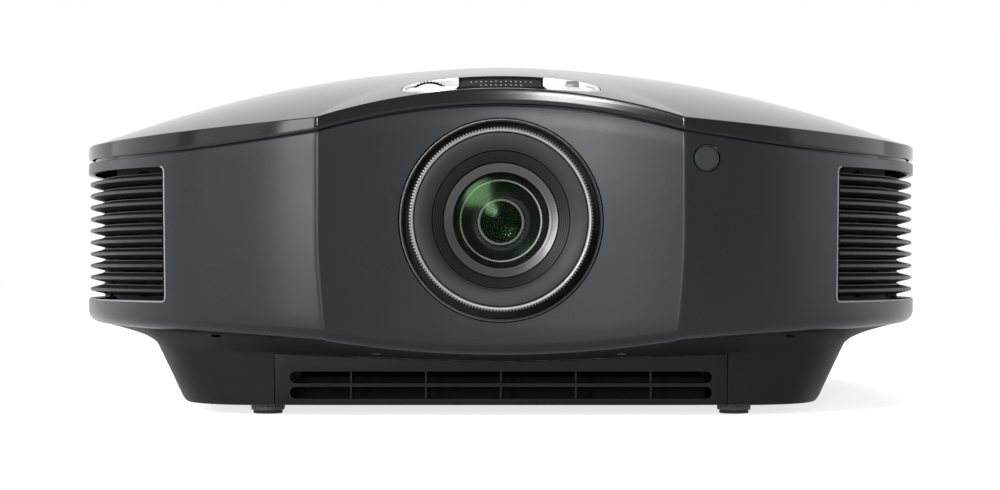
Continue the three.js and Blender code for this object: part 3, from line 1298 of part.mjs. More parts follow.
add("horizontal_shift_dial", shiftDial("y", HORIZONTAL_SCREW_Y - DIAL_Y), SILVER);
add("vertical_shift_dial", shiftDial("x", VERTICAL_SCREW_X - DIAL_X), SILVER);
const crossPlace = [-DIAL_X, HORIZONTAL_SCREW_Y, DIAL_Z];
add("horizontal_shift_screw", shiftScrew("x", crossPlace, -DIAL_X - HORIZONTAL_SCREW_END_X, -1), STEEL);
const uprightPlace = [VERTICAL_SCREW_X, DIAL_Y, DIAL_Z];
add("vertical_shift_screw", shiftScrew("z", uprightPlace, DIAL_Z - VERTICAL_SCREW_FOOT_Z, -1), STEEL);
add("horizontal_shift_nut", horizontalNut(), BRASS);
add("horizontal_carriage", horizontalCarriage(), STEEL);
add("vertical_carriage", verticalCarriage(), STEEL);
add("lens_guide_frame", lensGuideFrame(), STEEL);

add("focus_ring", focusRing(), SILVER);
add("zoom_ring", zoomRing(), DARK_GREY);
add("lens_hood", lensHood(), DARK_GREY);
add("lens_barrel", lensBarrel(), BLACK);
add("front_lens", frontLens(), GLASS);
add("rear_lens", rearLens(), GLASS);
add("aperture_ring", apertureRing(), BLACK);
add("lens_shield", lensShield(), BLACK);

const [frontLeft, frontRight, rearLeft, rearRight] = footPlaces();
add("front_foot_left", footPad(frontLeft), RUBBER);
add("front_foot_right", footPad(frontRight), RUBBER);
add("front_foot_knob_left", footKnob(frontLeft), DARK_GREY);
add("front_foot_knob_right", footKnob(frontRight), DARK_GREY);
add("rear_foot_left", fixedFoot(rearLeft), RUBBER);
add("rear_foot_right", fixedFoot(rearRight), RUBBER);

add("connector_panel", connectorPanel(), DARK_GREY);
for (const [name, spec] of Object.entries(SOCKETS)) add(name, socket(spec), STEEL);
for (const [name, y] of Object.entries(BUTTONS)) add(name, sideButton(y), BLACK);
add("control_stick", stickCap(), BLACK);
add("control_stick_gimbal", stickGimbal(), STEEL);
add("main_board", mainBoard(), BOARD);
add("lamp_door", lampDoor(), SATIN_GREY);
add("mains_inlet", mainsInlet(), BLACK);

for (const [word, side] of [["left", -1], ["right", 1]]) {
  add(`exhaust_fan_${word}`, exhaustFan(side), BLACK);
  add(`exhaust_rotor_${word}`, fanRotor(side), DARK_GREY);
}
add("optical_engine", opticalEngine(), STEEL);
add("power_supply", powerSupply(), STEEL);
add("lamp_ballast", lampBallast(), STEEL);
add("lamp_housing", lampHousing(), BLACK);
add("lamp_reflector", lampReflector(), SILVER);

export default projector;
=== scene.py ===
"""Home projector: the looks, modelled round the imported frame.

Shapes are worked out in millimetres and become metres in mesh_object. +X is the right of someone who faces
the lens, the front faces -Y and +Z is up.
"""

import math

import bmesh
import bpy
import numpy as np
from mathutils import Matrix, Vector


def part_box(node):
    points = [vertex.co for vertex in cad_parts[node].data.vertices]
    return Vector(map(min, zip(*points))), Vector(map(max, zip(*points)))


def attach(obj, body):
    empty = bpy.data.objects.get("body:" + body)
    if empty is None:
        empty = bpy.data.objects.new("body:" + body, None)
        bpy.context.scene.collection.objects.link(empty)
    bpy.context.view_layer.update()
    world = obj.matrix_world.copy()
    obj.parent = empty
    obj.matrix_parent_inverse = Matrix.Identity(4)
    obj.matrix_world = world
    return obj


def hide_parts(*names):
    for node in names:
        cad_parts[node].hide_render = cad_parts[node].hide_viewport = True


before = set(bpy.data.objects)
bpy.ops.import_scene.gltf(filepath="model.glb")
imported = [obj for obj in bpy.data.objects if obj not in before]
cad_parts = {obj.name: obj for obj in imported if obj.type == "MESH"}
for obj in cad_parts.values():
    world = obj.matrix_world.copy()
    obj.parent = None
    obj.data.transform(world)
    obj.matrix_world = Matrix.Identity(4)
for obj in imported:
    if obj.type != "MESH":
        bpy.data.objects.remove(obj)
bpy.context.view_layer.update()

MM = 0.001
AXIS = 0.01  # radius, in millimetres, that stands for the axis in a turned profile


def edges(node):
    """Lowest and highest corner of a CAD node, in millimetres."""
    low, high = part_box(node)
    return np.array(low) / MM, np.array(high) / MM


# ---- Sizes -----------------------------------------------------------------------------------------

PANEL_LOW, PANEL_HIGH = edges("front_panel")
LID_HIGH = edges("top_cover")[1]
TRAY_LOW = edges("bottom_tray")[0]
RING_LOW, RING_HIGH = edges("focus_ring")
BEZEL_LOW, BEZEL_HIGH = edges("lens_bezel")
DRAWER_LOW, DRAWER_HIGH = edges("filter_drawer")
DOOR_LOW, DOOR_HIGH = edges("lamp_door")
INLET_LOW, INLET_HIGH = edges("mains_inlet")
PLATE_HIGH = edges("connector_panel")[1]
BOARD_LOW, BOARD_HIGH = edges("main_board")
GRILLE_LOW, GRILLE_HIGH = edges("rear_intake_grille")
IR_FRONT = sum(edges("ir_window_front")) / 2
IR_REAR = sum(edges("ir_window_rear")) / 2

HALF_WIDTH = PANEL_HIGH[0]
REAR_Y = LID_HIGH[1]
PANEL_Y = BEZEL_LOW[1]
CREASE_Y = PANEL_LOW[1]
RING_FRONT_Y = RING_LOW[1]
LENS_Z = (RING_LOW[2] + RING_HIGH[2]) / 2
SPLIT_Y = PANEL_HIGH[1]

# Plan of the casing
CREASE_TOP_X = 78.7
CREASE_FOOT_X = 74.4
CREASE_BEND_Z = 78
WIDEST_Y = -30
WING_POWER = 2.3
BACK_POWER = 5
CREASE_S = 0.22  # place on the outline, 0 at the middle of the front and 1 at the middle of the back
WIDEST_S = 0.6
CREASE_ROUND = 0.003  # the crease is rounded over this much of the outline each way

# Lid
LID_PEAK_Z = LID_HIGH[2]
LID_PEAK_Y = 60
LIP_CENTRE_Z = 142.3
LIP_CREASE_Z = 129.6
LIP_SIDE_Z = 123.1
LIP_FALL = 0.85
LIP_EDGE = 0.7  # radius of the band's upper edge
BAND_DEPTH = 1.9
TONGUE_OUTER = 3.1
TONGUE_INNER = 4.9
TONGUE_DROP = 5
BAND_HEIGHT = 5.8
BAND_CENTRE_EXTRA = 1.1
BAND_WING_EXTRA = 2.4
SHADOW_GAP = 2  # under the band at the sides
SHADOW_GAP_FRONT = 0.7
WALL = 2.8
WALL_EDGE = 0.5
CLEARANCE = 0.3
SEAM = 0.3  # between the front panel and the rear cover

# Walls and base
HEM_CENTRE_Z = PANEL_LOW[2]
HEM_CREASE_Z = 33.6
HEM_SIDE_Z = 39.2
HEM_RADIUS = 5.5
BASE_TOP_HALF = 159.4
BASE_FOOT_HALF = 147
BASE_TOP_CENTRE_Z = 24.3
BASE_TOP_SIDE_Z = 30.8
BASE_FOOT_Z = TRAY_LOW[2]
BASE_FRONT_Y = DRAWER_LOW[1]
BASE_REAR_Y = REAR_Y - 30
BASE_MIDDLE_Y = (BASE_FRONT_Y + BASE_REAR_Y) / 2
BASE_DRAFT = 2
BASE_POWER = 8
BASE_EDGE = 2.0  # radius along the base's foot
FLOOR = 2.5
FLOOR_Z = BASE_FOOT_Z + FLOOR
DRAWER_HALF = DRAWER_HIGH[0]
SLOT_HALF = 92.5
SLOT_HEIGHT = 5.2
POST_PITCH = 32.85
POST_WIDTH = 0.9
SLOT_ROWS_Z = (10.3, 17.1)
BASE_NOTCHES = ((-125, 35.2), (-54.5, 27.4), (52.5, 27.4), (127, 35.2))  # small slots, as (x, z)
FOOT_BORE = 3.2
FOOT_NODES = ("front_foot_left", "front_foot_right", "rear_foot_left", "rear_foot_right")
FEET = [tuple((sum(edges(node)) / 2)[:2]) for node in FOOT_NODES]

# Exhaust grilles
VENT_INNER_X = 149.5
VENT_REAR_Y = -12
VENT_TOP_Z = 110
VENT_FOOT_Z = 50
VENT_CORNER = 2.4
VENT_RIM = 0.45
GRILLE_RECESS = 0.7
LOUVRE_COUNT = 10
LOUVRE_PITCH = 5.59
LOUVRE_DEPTH = 6.6
LOUVRE_NOSE = 0.85  # half the thickness of its round edge
LOUVRE_ROOT = 2.3  # half its thickness at the back

# Recess in the lid
RECESS_HALF = 44
RECESS_FRONT_Y = PANEL_Y + 4.45
RECESS_REAR_Y = RECESS_FRONT_Y + 49.5
RECESS_POWER = 3
RECESS_FLOOR_Z = 141.5
ISLAND_HALF = 17.9
DIAL_X = 31.5
DIAL_Y = PANEL_Y + 32.95
DIAL_Z = 135.9
DIAL_RADIUS = 12
DIAL_THICKNESS = 6
MARK_PITCH = 2.2  # between the dots on the island

# Lens and receivers
BEZEL_RADIUS = BEZEL_HIGH[0]
RING_TEETH = 180
IR_RADIUS = 5.7
GLASS_IOR = 1.45

# Openings in the sides and the back
PLATE_X = PLATE_HIGH[0]
SIDE_WINDOW_SIZE = (BOARD_HIGH[1] - BOARD_LOW[1], BOARD_HIGH[2] - BOARD_LOW[2] - 4)
SIDE_WINDOW_MIDDLE = tuple((sum(edges("main_board")) / 2)[1:])
INTAKE_X = (GRILLE_LOW[0] + GRILLE_HIGH[0]) / 2
INTAKE_Z = (GRILLE_LOW[2] + GRILLE_HIGH[2]) / 2
INTAKE_SIZE = (GRILLE_HIGH[0] - GRILLE_LOW[0] - 2 * WALL, GRILLE_HIGH[2] - GRILLE_LOW[2] - 2 * WALL)
INLET_Z = (INLET_LOW[2] + INLET_HIGH[2]) / 2
DOOR_GAP = 0.6
INLET_MOUTH = (28, 20.6, 2.5)  # width, height and corner radius
JACK_PITCH = 11
CONTACT_PITCH = 1.27
SOCKETS = (
    "hdmi_socket_upper", "hdmi_socket_lower", "vga_socket", "serial_socket", "network_socket",
    "component_sockets")
BUTTONS = ("power_button", "input_button", "menu_button")


# ---- Materials -------------------------------------------------------------------------------------

def linear(value):
    """A colour channel from 0 to 255 as the linear value that renders to it."""
    share = value / 255
    return share / 12.92 if share <= 0.04045 else ((share + 0.055) / 1.055) ** 2.4


def colour(red, green, blue):
    return (linear(red), linear(green), linear(blue), 1)


def set_inputs(node, **values):
    """Values for a node's sockets, their names written with _ for a space."""
    for name, value in values.items():
        node.inputs[name.replace("_", " ")].default_value = value


def math_node(nodes, links, operation, *sources):
    """The result of an operation on sockets and plain numbers."""
    node = nodes.new("ShaderNodeMath")
    node.operation = operation
    for socket, source in zip(node.inputs, sources):
        if isinstance(source, (int, float)):
            socket.default_value = source
        else:
            links.new(source, socket)
    return node.outputs[0]


def surface(
        name, tint, roughness, metallic=0.0, grain=0.0, grain_size=0.4, shade=0.12, rough_spread=0.05,
        **sockets):
    """A procedural finish: fine grain in the relief, and slow changes in colour and roughness."""
    material = bpy.data.materials.new(name)
    material.use_nodes = True
    nodes, links = material.node_tree.nodes, material.node_tree.links
    shader = nodes["Principled BSDF"]
    set_inputs(shader, Metallic=metallic, **sockets)
    place = nodes.new("ShaderNodeTexCoord")

    def noise(size_mm, detail):
        texture = nodes.new("ShaderNodeTexNoise")
        set_inputs(texture, Scale=1 / (size_mm * MM), Detail=detail)
        links.new(place.outputs["Object"], texture.inputs["Vector"])
        return texture.outputs["Fac"]

    def ranged(source, low, high):
        ranges = nodes.new("ShaderNodeMapRange")
        set_inputs(ranges, From_Min=0.3, From_Max=0.7, To_Min=low, To_Max=high)
        links.new(source, ranges.inputs["Value"])
        return ranges.outputs["Result"]

    blend = nodes.new("ShaderNodeMix")
    blend.data_type = "RGBA"
    darker = tuple(channel * (1 - shade) for channel in tint[:3]) + (1,)
    lighter = tuple(channel * (1 + shade) for channel in tint[:3]) + (1,)
    blend.inputs["A"].default_value = darker
    blend.inputs["B"].default_value = lighter
    fine, broad = ranged(noise(grain_size, 2), 0, 1), ranged(noise(60, 2), 0, 0.4)
    links.new(math_node(nodes, links, "MULTIPLY_ADD", fine, 0.6, broad), blend.inputs["Factor"])
    links.new(blend.outputs["Result"], shader.inputs["Base Color"])
    rough = ranged(noise(25, 4), max(0, roughness - rough_spread), roughness + rough_spread)
    links.new(rough, shader.inputs["Roughness"])
    if grain:
        bump = nodes.new("ShaderNodeBump")
        set_inputs(bump, Strength=grain, Distance=0.05 * MM)
        links.new(noise(grain_size, 3), bump.inputs["Height"])
        links.new(bump.outputs["Normal"], shader.inputs["Normal"])
    return material


ISLAND = surface("island_black", colour(26, 26, 27), 0.55, grain=0.1, Specular_IOR_Level=0.01)
MARKING = surface("marking_print", colour(190, 190, 190), 0.5)
BEZEL = surface("bezel_black", colour(24, 24, 25), 0.25, metallic=0.2)
BUTTON = surface("button_black", colour(36, 36, 38), 0.35, grain=0.2)
LAMP_BLACK = surface("lamp_black", colour(40, 40, 40), 0.55, grain=0.4)
INLET_BLACK = surface("inlet_black", colour(24, 24, 24), 0.4, grain=0.3)
INSERT_BLUE = surface("insert_blue", colour(30, 60, 140), 0.45, grain=0.2)
JACK_GREEN = surface("jack_green", colour(30, 130, 60), 0.4, grain=0.2)
JACK_BLUE = surface("jack_blue", colour(35, 70, 170), 0.4, grain=0.2)
JACK_RED = surface("jack_red", colour(180, 35, 35), 0.4, grain=0.2)
PAINT = surface(
    "satin_paint", colour(21, 25, 28), 0.28, grain=0.1, grain_size=0.35, shade=0.04, rough_spread=0.015,
    Specular_IOR_Level=0.22, Specular_Tint=(0.94, 0.97, 1, 1))
# painted highlight: a pale grey for the lit edges of the vents, against the dark paint
VENT_EDGE_HIGHLIGHT = surface("painted_edge_highlight", colour(118, 121, 124), 0.35, grain=0.2)
LACQUER = surface(
    "gloss_lacquer", colour(6, 6, 7), 0.13, rough_spread=0.02, shade=0.05, Specular_IOR_Level=0.25)
LID_PAINT = surface(
    "lid_lacquer", colour(14, 15, 16), 0.1, rough_spread=0.015, shade=0.05, Specular_IOR_Level=0.15)
MOULDING = surface(
    "black_moulding", colour(24, 24, 25), 0.5, grain=0.4, grain_size=0.5, Specular_IOR_Level=0.08)
GRILLE = surface("grille_moulding", colour(24, 26, 27), 0.4, grain=0.3, Specular_IOR_Level=0.2)
LENS_PAINT = surface(
    "lens_paint", colour(17, 17, 18), 0.36, grain=0.2, grain_size=0.3, Specular_IOR_Level=0.22)
CELL = surface("lens_cell", colour(24, 23, 21), 0.3, grain=0.1, Specular_IOR_Level=0.8)
# painted highlight: near white so that the rings inside the lens shine as if light glinted off them
GLINT_PAINTED_RING = surface("painted_glint_ring", colour(222, 226, 216), 0.4, shade=0.04)
LENS_BLACK = surface("lens_black", colour(22, 22, 23), 0.4, grain=0.2)
VOID_BLACK = surface("inner_black", colour(9, 9, 10), 0.7, grain=0.2)
THROAT = surface("throat_black", colour(28, 28, 29), 0.5, grain=0.2)
SILVER = surface("bright_metal", colour(205, 205, 206), 0.22, metallic=1, shade=0.05)
RING_SILVER = surface("knurled_metal", colour(124, 125, 126), 0.36, metallic=0.5, shade=0.06)
DIAL_METAL = surface("dial_metal", colour(120, 120, 122), 0.3, metallic=1, shade=0.06)
WELL = surface("silver_plating", colour(225, 225, 226), 0.28, metallic=0.6, shade=0.04)
WINDOW = surface("smoked_window", colour(24, 25, 27), 0.32, rough_spread=0.02, shade=0.05)
RUBBER = surface("foot_rubber", colour(34, 34, 34), 0.75, grain=0.6, grain_size=0.4)
KNOB = surface("foot_knob", colour(64, 64, 65), 0.45, grain=0.3)
SOCKET_METAL = surface("plated_shell", colour(170, 170, 172), 0.3, metallic=1)
SOCKET_BLACK = surface("socket_black", colour(20, 20, 21), 0.45, grain=0.3)
STEEL = surface("plain_steel", colour(130, 131, 134), 0.35, metallic=1, grain=0.2)
BOARD = surface("circuit_board", colour(20, 70, 40), 0.4, grain=0.4, grain_size=0.8, shade=0.3)
FOAM = surface(
    "filter_foam", colour(10, 10, 10), 0.95, grain=1.0, grain_size=1.1, shade=0.4, Specular_IOR_Level=0.1)
BRASS = surface("turned_brass", colour(176, 140, 72), 0.3, metallic=1)


def glass(name, tint, reflection, roughness, alpha):
    """Coated glass, seen through for the most part."""
    return surface(
        name, tint, roughness, rough_spread=0.01, shade=0.02, Alpha=alpha, IOR=GLASS_IOR,
        Specular_Tint=reflection)


FRONT_GLASS = glass("coated_glass", colour(4, 6, 5), (0.5, 1.0, 0.45, 1), 0.08, 0.09)
INNER_GLASS = glass("inner_glass", colour(4, 6, 6), (0.5, 0.95, 0.6, 1), 0.05, 0.06)


# ---- Meshes ----------------------------------------------------------------------------------------

def mesh_object(name, points, faces):
    mesh = bpy.data.meshes.new(name)
    mesh.from_pydata((np.asarray(points, float) * MM).tolist(), [], faces)
    mesh.update()
    obj = bpy.data.objects.new(name, mesh)
    bpy.context.scene.collection.objects.link(obj)
    return obj


def strips(rows, columns, closed_rows=False, closed_columns=False):
    """Faces between rows of points, wound so that columns turn left of the way the rows run."""
    faces = []
    for i in range(rows if closed_rows else rows - 1):
        for j in range(columns if closed_columns else columns - 1):
            a, b = i * columns + j, i * columns + (j + 1) % columns
            c = ((i + 1) % rows) * columns
            faces.append((a, b, c + (j + 1) % columns, c + j))
    return faces


def outward(obj):
    """Turns a closed mesh's faces out."""
    work = bmesh.new()
    work.from_mesh(obj.data)
    bmesh.ops.remove_doubles(work, verts=work.verts, dist=1e-7)
    bmesh.ops.recalc_face_normals(work, faces=work.faces)
    work.to_mesh(obj.data)
    work.free()
    return obj


def lofted(name, sections, closed=False):
    """A closed solid through sections, each a closed loop of points."""
    sections = np.asarray(sections, float)
    rows, columns = sections.shape[:2]
    faces = strips(rows, columns, closed, True)
    if not closed:
        last = (rows - 1) * columns
        faces += [tuple(range(columns))[::-1], tuple(last + j for j in range(columns))]
    return outward(mesh_object(name, sections.reshape(-1, 3), faces))


def on_axis(axis, along, u, v):
    """The point a distance along an axis and u, v across it."""
    return {"x": (along, u, v), "y": (u, along, v), "z": (u, v, along)}[axis]


def round_turn(steps):
    """Angles once round, the end left out."""
    return np.linspace(0, 2 * math.pi, steps + 1)[:-1]


def turned(name, axis, place, profile, segments=96, radius_at=None):
    """A turned piece from a closed profile of (radius, distance along the axis)."""
    columns = len(profile)
    points = []
    for i in range(segments):
        angle = 2 * math.pi * i / segments
        for j, (radius, along) in enumerate(profile):
            reach = radius_at(radius, j, i) if radius_at else radius
            u, v = reach * math.cos(angle), reach * math.sin(angle)
            offset = on_axis(axis, along, u, v)
            points.append([place[k] + offset[k] for k in range(3)])
    return outward(mesh_object(name, points, strips(segments, columns, True, True)))


def extruded(name, axis, loop, place, start, end):
    """A solid along an axis from a closed loop, given across the axis and measured from a place."""
    spot = [0 if "xyz"[k] == axis else place[k] for k in range(3)]
    sections = []
    for along in (start, end):
        here = [on_axis(axis, along, u, v) for u, v in loop]
        sections.append([[spot[k] + point[k] for k in range(3)] for point in here])
    return lofted(name, sections)


def block(name, low, high):
    """A box, to be cut, bevelled or used as a tool."""
    (x0, y0, z0), (x1, y1, z1) = low, high
    return extruded(name, "z", [(x0, y0), (x1, y0), (x1, y1), (x0, y1)], (0, 0, 0), z0, z1)


def disc(name, axis, place, radius, start, end, segments=64):
    """A plain rod, as a tool; start and end are measured from the place."""
    loop = [(radius * math.cos(a), radius * math.sin(a)) for a in round_turn(segments)]
    base = place["xyz".index(axis)]
    return extruded(name, axis, loop, place, base + start, base + end)


def rounded_corners(corners, radius, steps=5):
    """A closed loop through corners, each rounded off over a radius."""
    loop = []
    corners = [np.array(c, float) for c in corners]
    for i, corner in enumerate(corners):
        before, after = corners[i - 1], corners[(i + 1) % len(corners)]
        start = corner + (before - corner) / np.linalg.norm(before - corner) * radius
        end = corner + (after - corner) / np.linalg.norm(after - corner) * radius
        for share in np.linspace(0, 1, steps):
            loop.append(tuple((1 - share) ** 2 * start + 2 * share * (1 - share) * corner + share ** 2 * end))
    return loop


def rounded_loop(width, height, radius):
    """A rectangle round the origin with round corners."""
    u, v = width / 2, height / 2
    loop = []
    for side_u, side_v, first in ((1, -1, -90), (1, 1, 0), (-1, 1, 90), (-1, -1, 180)):
        for turn in np.radians(np.linspace(first, first + 90, 7)):
            x = side_u * (u - radius) + radius * math.cos(turn)
            loop.append((x, side_v * (v - radius) + radius * math.sin(turn)))
    return loop


def tube(name, points, radius, sides=8):
    """A closed round bar along points."""
    points = [Vector(point) for point in points]
    sections = []
    normal = None
    for i, point in enumerate(points):
        ahead = (points[min(i + 1, len(points) - 1)] - points[max(i - 1, 0)]).normalized()
        if normal is None:
            normal = ahead.orthogonal().normalized()
        normal = (normal - ahead * normal.dot(ahead)).normalized()
        other = ahead.cross(normal)
        turns = [2 * math.pi * k / sides for k in range(sides)]
        sections.append([tuple(point + radius * (normal * math.cos(a) + other * math.sin(a))) for a in turns])
    return lofted(name, sections)


def joined(name, parts):
    """One object from several closed ones."""
    work = bmesh.new()
    for part in parts:
        work.from_mesh(part.data)
        bpy.data.objects.remove(part)
    mesh = bpy.data.meshes.new(name)
    work.to_mesh(mesh)
    work.free()
    obj = bpy.data.objects.new(name, mesh)
    bpy.context.scene.collection.objects.link(obj)
    return obj


def applied(obj):
    graph = bpy.context.evaluated_depsgraph_get()
    mesh = bpy.data.meshes.new_from_object(obj.evaluated_get(graph))
    obj.modifiers.clear()
    obj.data = mesh
    return obj


def combined(obj, tools, operation):
    """The object cut by, or joined with, closed tools, which go away."""
    for tool in tools:
        step = obj.modifiers.new("combine", "BOOLEAN")
        step.object = tool
        step.operation = operation
        step.solver = "EXACT"
    applied(obj)
    for tool in tools:
        bpy.data.objects.remove(tool)
    return obj


def cut(obj, *tools):
    return combined(obj, tools, "DIFFERENCE")


def bevelled(obj, width, segments=2, angle=35):
    step = obj.modifiers.new("bevel", "BEVEL")
    step.width = width * MM
    step.segments = segments
    step.limit_method = "ANGLE"
    step.angle_limit = math.radians(angle)
    return applied(obj)


def finish(obj, material, body="root", stands_for=(), sharp=35):
    """Material, shading, body, slot and the CAD nodes that a piece stands for."""
    obj.data.materials.clear()
    obj.data.materials.append(material)
    obj.data.polygons.foreach_set("material_index", [0] * len(obj.data.polygons))
    obj.data.shade_smooth()
    obj.data.set_sharp_from_angle(angle=math.radians(sharp))
    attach(obj, body)
    if stands_for:
        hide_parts(*stands_for)
    return obj


# ---- Shape of the casing ---------------------------------------------------------------------------

def crease_x(z):
    if z >= CREASE_BEND_Z:
        return CREASE_TOP_X
    down = (CREASE_BEND_Z - z) / (CREASE_BEND_Z - HEM_CENTRE_Z)
    return CREASE_TOP_X - (CREASE_TOP_X - CREASE_FOOT_X) * down ** 1.5


def power_point(angle, power):
    return max(0.0, math.cos(angle)) ** (2 / power), max(0.0, math.sin(angle)) ** (2 / power)


def sharp_outline(s, z):
    side = -1 if s < 0 else 1
    along = abs(s)
    crease = crease_x(z)
    if along <= CREASE_S:
        share = along / CREASE_S
        return side * crease * share, PANEL_Y + (CREASE_Y - PANEL_Y) * share ** 2
    start = math.acos((crease / HALF_WIDTH) ** (WING_POWER / 2))
    if along <= WIDEST_S:
        reach = (WIDEST_Y - CREASE_Y) / power_point(start, WING_POWER)[1]
        angle = start * (1 - (along - CREASE_S) / (WIDEST_S - CREASE_S))
        across, ahead = power_point(angle, WING_POWER)
        return side * HALF_WIDTH * across, WIDEST_Y - reach * ahead
    across, behind = power_point((along - WIDEST_S) / (1 - WIDEST_S) * math.pi / 2, BACK_POWER)
    return side * HALF_WIDTH * across, WIDEST_Y + (REAR_Y - WIDEST_Y) * behind


def outline(s, z=LIP_SIDE_Z):
    """The outline's point at s and z, its crease rounded."""
    off = abs(s) - CREASE_S
    if abs(off) >= CREASE_ROUND:
        return sharp_outline(s, z)
    side = -1 if s < 0 else 1
    share = (off / CREASE_ROUND + 1) / 2
    before, corner, after = (
        np.array(sharp_outline(side * (CREASE_S + step), z)) for step in (-CREASE_ROUND, 0, CREASE_ROUND)
    )
    return tuple((1 - share) ** 2 * before + 2 * share * (1 - share) * corner + share ** 2 * after)


def inside(s, distance, z):
    """The point a distance inside the outline."""
    step = 5e-4
    x, y = outline(s, z)
    xa, ya = outline(max(-1, s - step), z)
    xb, yb = outline(min(1, s + step), z)
    length = math.hypot(xb - xa, yb - ya)
    return x - distance * (yb - ya) / length, y + distance * (xb - xa) / length, z


def find_s(low, high, reached):
    """Where along the outline a measure is reached, by halving."""
    for _ in range(40):
        middle = (low + high) / 2
        if reached(*sharp_outline(middle, LIP_SIDE_Z)):
            high = middle
        else:
            low = middle
    return (low + high) / 2


def place_at(y):
    """Where along the outline, behind the crease, y is reached."""
    return find_s(CREASE_S, 1, lambda _, reached: reached > y)


SPLIT_S = place_at(SPLIT_Y)
VENT_START = find_s(CREASE_S, WIDEST_S, lambda x, y: x > VENT_INNER_X)
VENT_FRONT_Y = sharp_outline(VENT_START, LIP_SIDE_Z)[1]
VENT_PLACES = [place_at(y) for y in np.linspace(VENT_FRONT_Y, VENT_REAR_Y, 160)]
VENT_STEPS = [
    math.dist(sharp_outline(a, LIP_SIDE_Z), sharp_outline(b, LIP_SIDE_Z))
    for a, b in zip(VENT_PLACES, VENT_PLACES[1:])]
VENT_LENGTH = sum(VENT_STEPS)
VENT_SHARES = np.concatenate([[0], np.cumsum(VENT_STEPS)]) / VENT_LENGTH


def wing_share(x):
    return min(1, max(0, (abs(x) - CREASE_TOP_X) / (HALF_WIDTH - CREASE_TOP_X)))


def lip_z(s):
    x, y = sharp_outline(s, LIP_SIDE_Z)
    if y > WIDEST_Y:
        return LIP_SIDE_Z
    share = min(1, abs(x) / CREASE_TOP_X)
    if share < 1:
        return LIP_CENTRE_Z - (LIP_CENTRE_Z - LIP_CREASE_Z) * share ** 2
    fall = min(1, wing_share(x) / LIP_FALL)
    return LIP_SIDE_Z + (LIP_CREASE_Z - LIP_SIDE_Z) * (1 - fall) ** 1.3


def band_foot_z(s):
    x, y = sharp_outline(s, LIP_SIDE_Z)
    if y > WIDEST_Y:
        return lip_z(s) - BAND_HEIGHT
    share = min(1, abs(x) / CREASE_TOP_X)
    wing = math.sin(math.pi * wing_share(x))
    return lip_z(s) - BAND_HEIGHT - BAND_CENTRE_EXTRA * (1 - share ** 2) - BAND_WING_EXTRA * wing


def wall_top_z(s):
    gap = SHADOW_GAP_FRONT + (SHADOW_GAP - SHADOW_GAP_FRONT) * wing_share(outline(s)[0]) ** 3
    return band_foot_z(s) - gap


def hem_z(s):
    x, y = sharp_outline(s, LIP_SIDE_Z)
    if y > WIDEST_Y:
        return HEM_SIDE_Z
    share = min(1, abs(x) / CREASE_TOP_X)
    if share < 1:
        return HEM_CENTRE_Z + (HEM_CREASE_Z - HEM_CENTRE_Z) * share ** 2
    return HEM_CREASE_Z + (HEM_SIDE_Z - HEM_CREASE_Z) * wing_share(x) ** 0.8


def places(start, end, pitch=0.006):
    """Places along the outline, closer together round the creases."""
    found = set(np.linspace(start, end, max(2, round((end - start) / pitch) + 1)).tolist())
    for crease in (-CREASE_S, CREASE_S):
        for step in np.linspace(-1.4, 1.4, 9) * CREASE_ROUND:
            if start < crease + step < end:
                found.add(float(crease + step))
    return sorted(found)


# ---- Lid -------------------------------------------------------------------------------------------

def evened(s, reach):
    """The lip's point at s, averaged over a stretch of the outline so that no crease runs up the dome."""
    taken = [s + k * reach for k in (-1, -0.75, -0.5, -0.25, 0, 0.25, 0.5, 0.75, 1)]
    taken = [k - 2 if k > 1 else k + 2 if k < -1 else k for k in taken]
    points = [(*inside(k, BAND_DEPTH, LIP_SIDE_Z)[:2], lip_z(k)) for k in taken]
    return np.mean(points, axis=0)


def dome_point(s, share, sink=0.0):
    x, y, z = evened(s, 0.22 * (1 - share))
    height = LID_PEAK_Z - (LID_PEAK_Z - z) * share ** 2
    return x * share, LID_PEAK_Y + (y - LID_PEAK_Y) * share, height - sink


def dome_z(x, y):
    """Height of the lid above a place near the front."""
    share = 0.9
    for _ in range(25):
        edge_x = x / share
        edge_y = PANEL_Y + (CREASE_Y - PANEL_Y) * (edge_x / CREASE_TOP_X) ** 2
        share = (y - LID_PEAK_Y) / (edge_y - LID_PEAK_Y)
    lip = LIP_CENTRE_Z - (LIP_CENTRE_Z - LIP_CREASE_Z) * (x / share / CREASE_TOP_X) ** 2
    return LID_PEAK_Z - (LID_PEAK_Z - lip) * share ** 2


def quarter(steps=4):
    """Shares of a rounded corner: across and down, from its start to its end."""
    return [(1 - math.sin(a), 1 - math.cos(a)) for a in np.linspace(0, math.pi / 2, steps + 1)]


def recess_loop(inset):
    half = RECESS_HALF - inset
    middle = (RECESS_FRONT_Y + RECESS_REAR_Y) / 2
    reach = (RECESS_REAR_Y - RECESS_FRONT_Y) / 2 - inset
    loop = []
    for angle in round_turn(120):
        c, s = math.cos(angle), math.sin(angle)
        across = math.copysign(abs(c) ** (2 / RECESS_POWER), c)
        along = math.copysign(abs(s) ** (2 / RECESS_POWER), s)
        loop.append((half * across, middle + reach * along))
    return loop


LID_SHARES = [0.001, *np.linspace(0.05, 0.9, 18), 0.93, 0.955, 0.975, 0.99, 1.0]


def dome_section(s):
    """Closed section of the lid at s: over the dome, down its tongue and back under the dome."""
    foot = band_foot_z(s)
    row = [dome_point(s, share) for share in LID_SHARES]
    row += [inside(s, d, z) for d, z in (
        (BAND_DEPTH, lip_z(s) - 1), (TONGUE_OUTER, foot + 1), (TONGUE_OUTER, foot - TONGUE_DROP),
        (TONGUE_INNER, foot - TONGUE_DROP), (TONGUE_INNER, lip_z(s) - 2 * WALL),
    )]
    return row + [dome_point(s, share * 0.97, WALL) for share in reversed(LID_SHARES)]


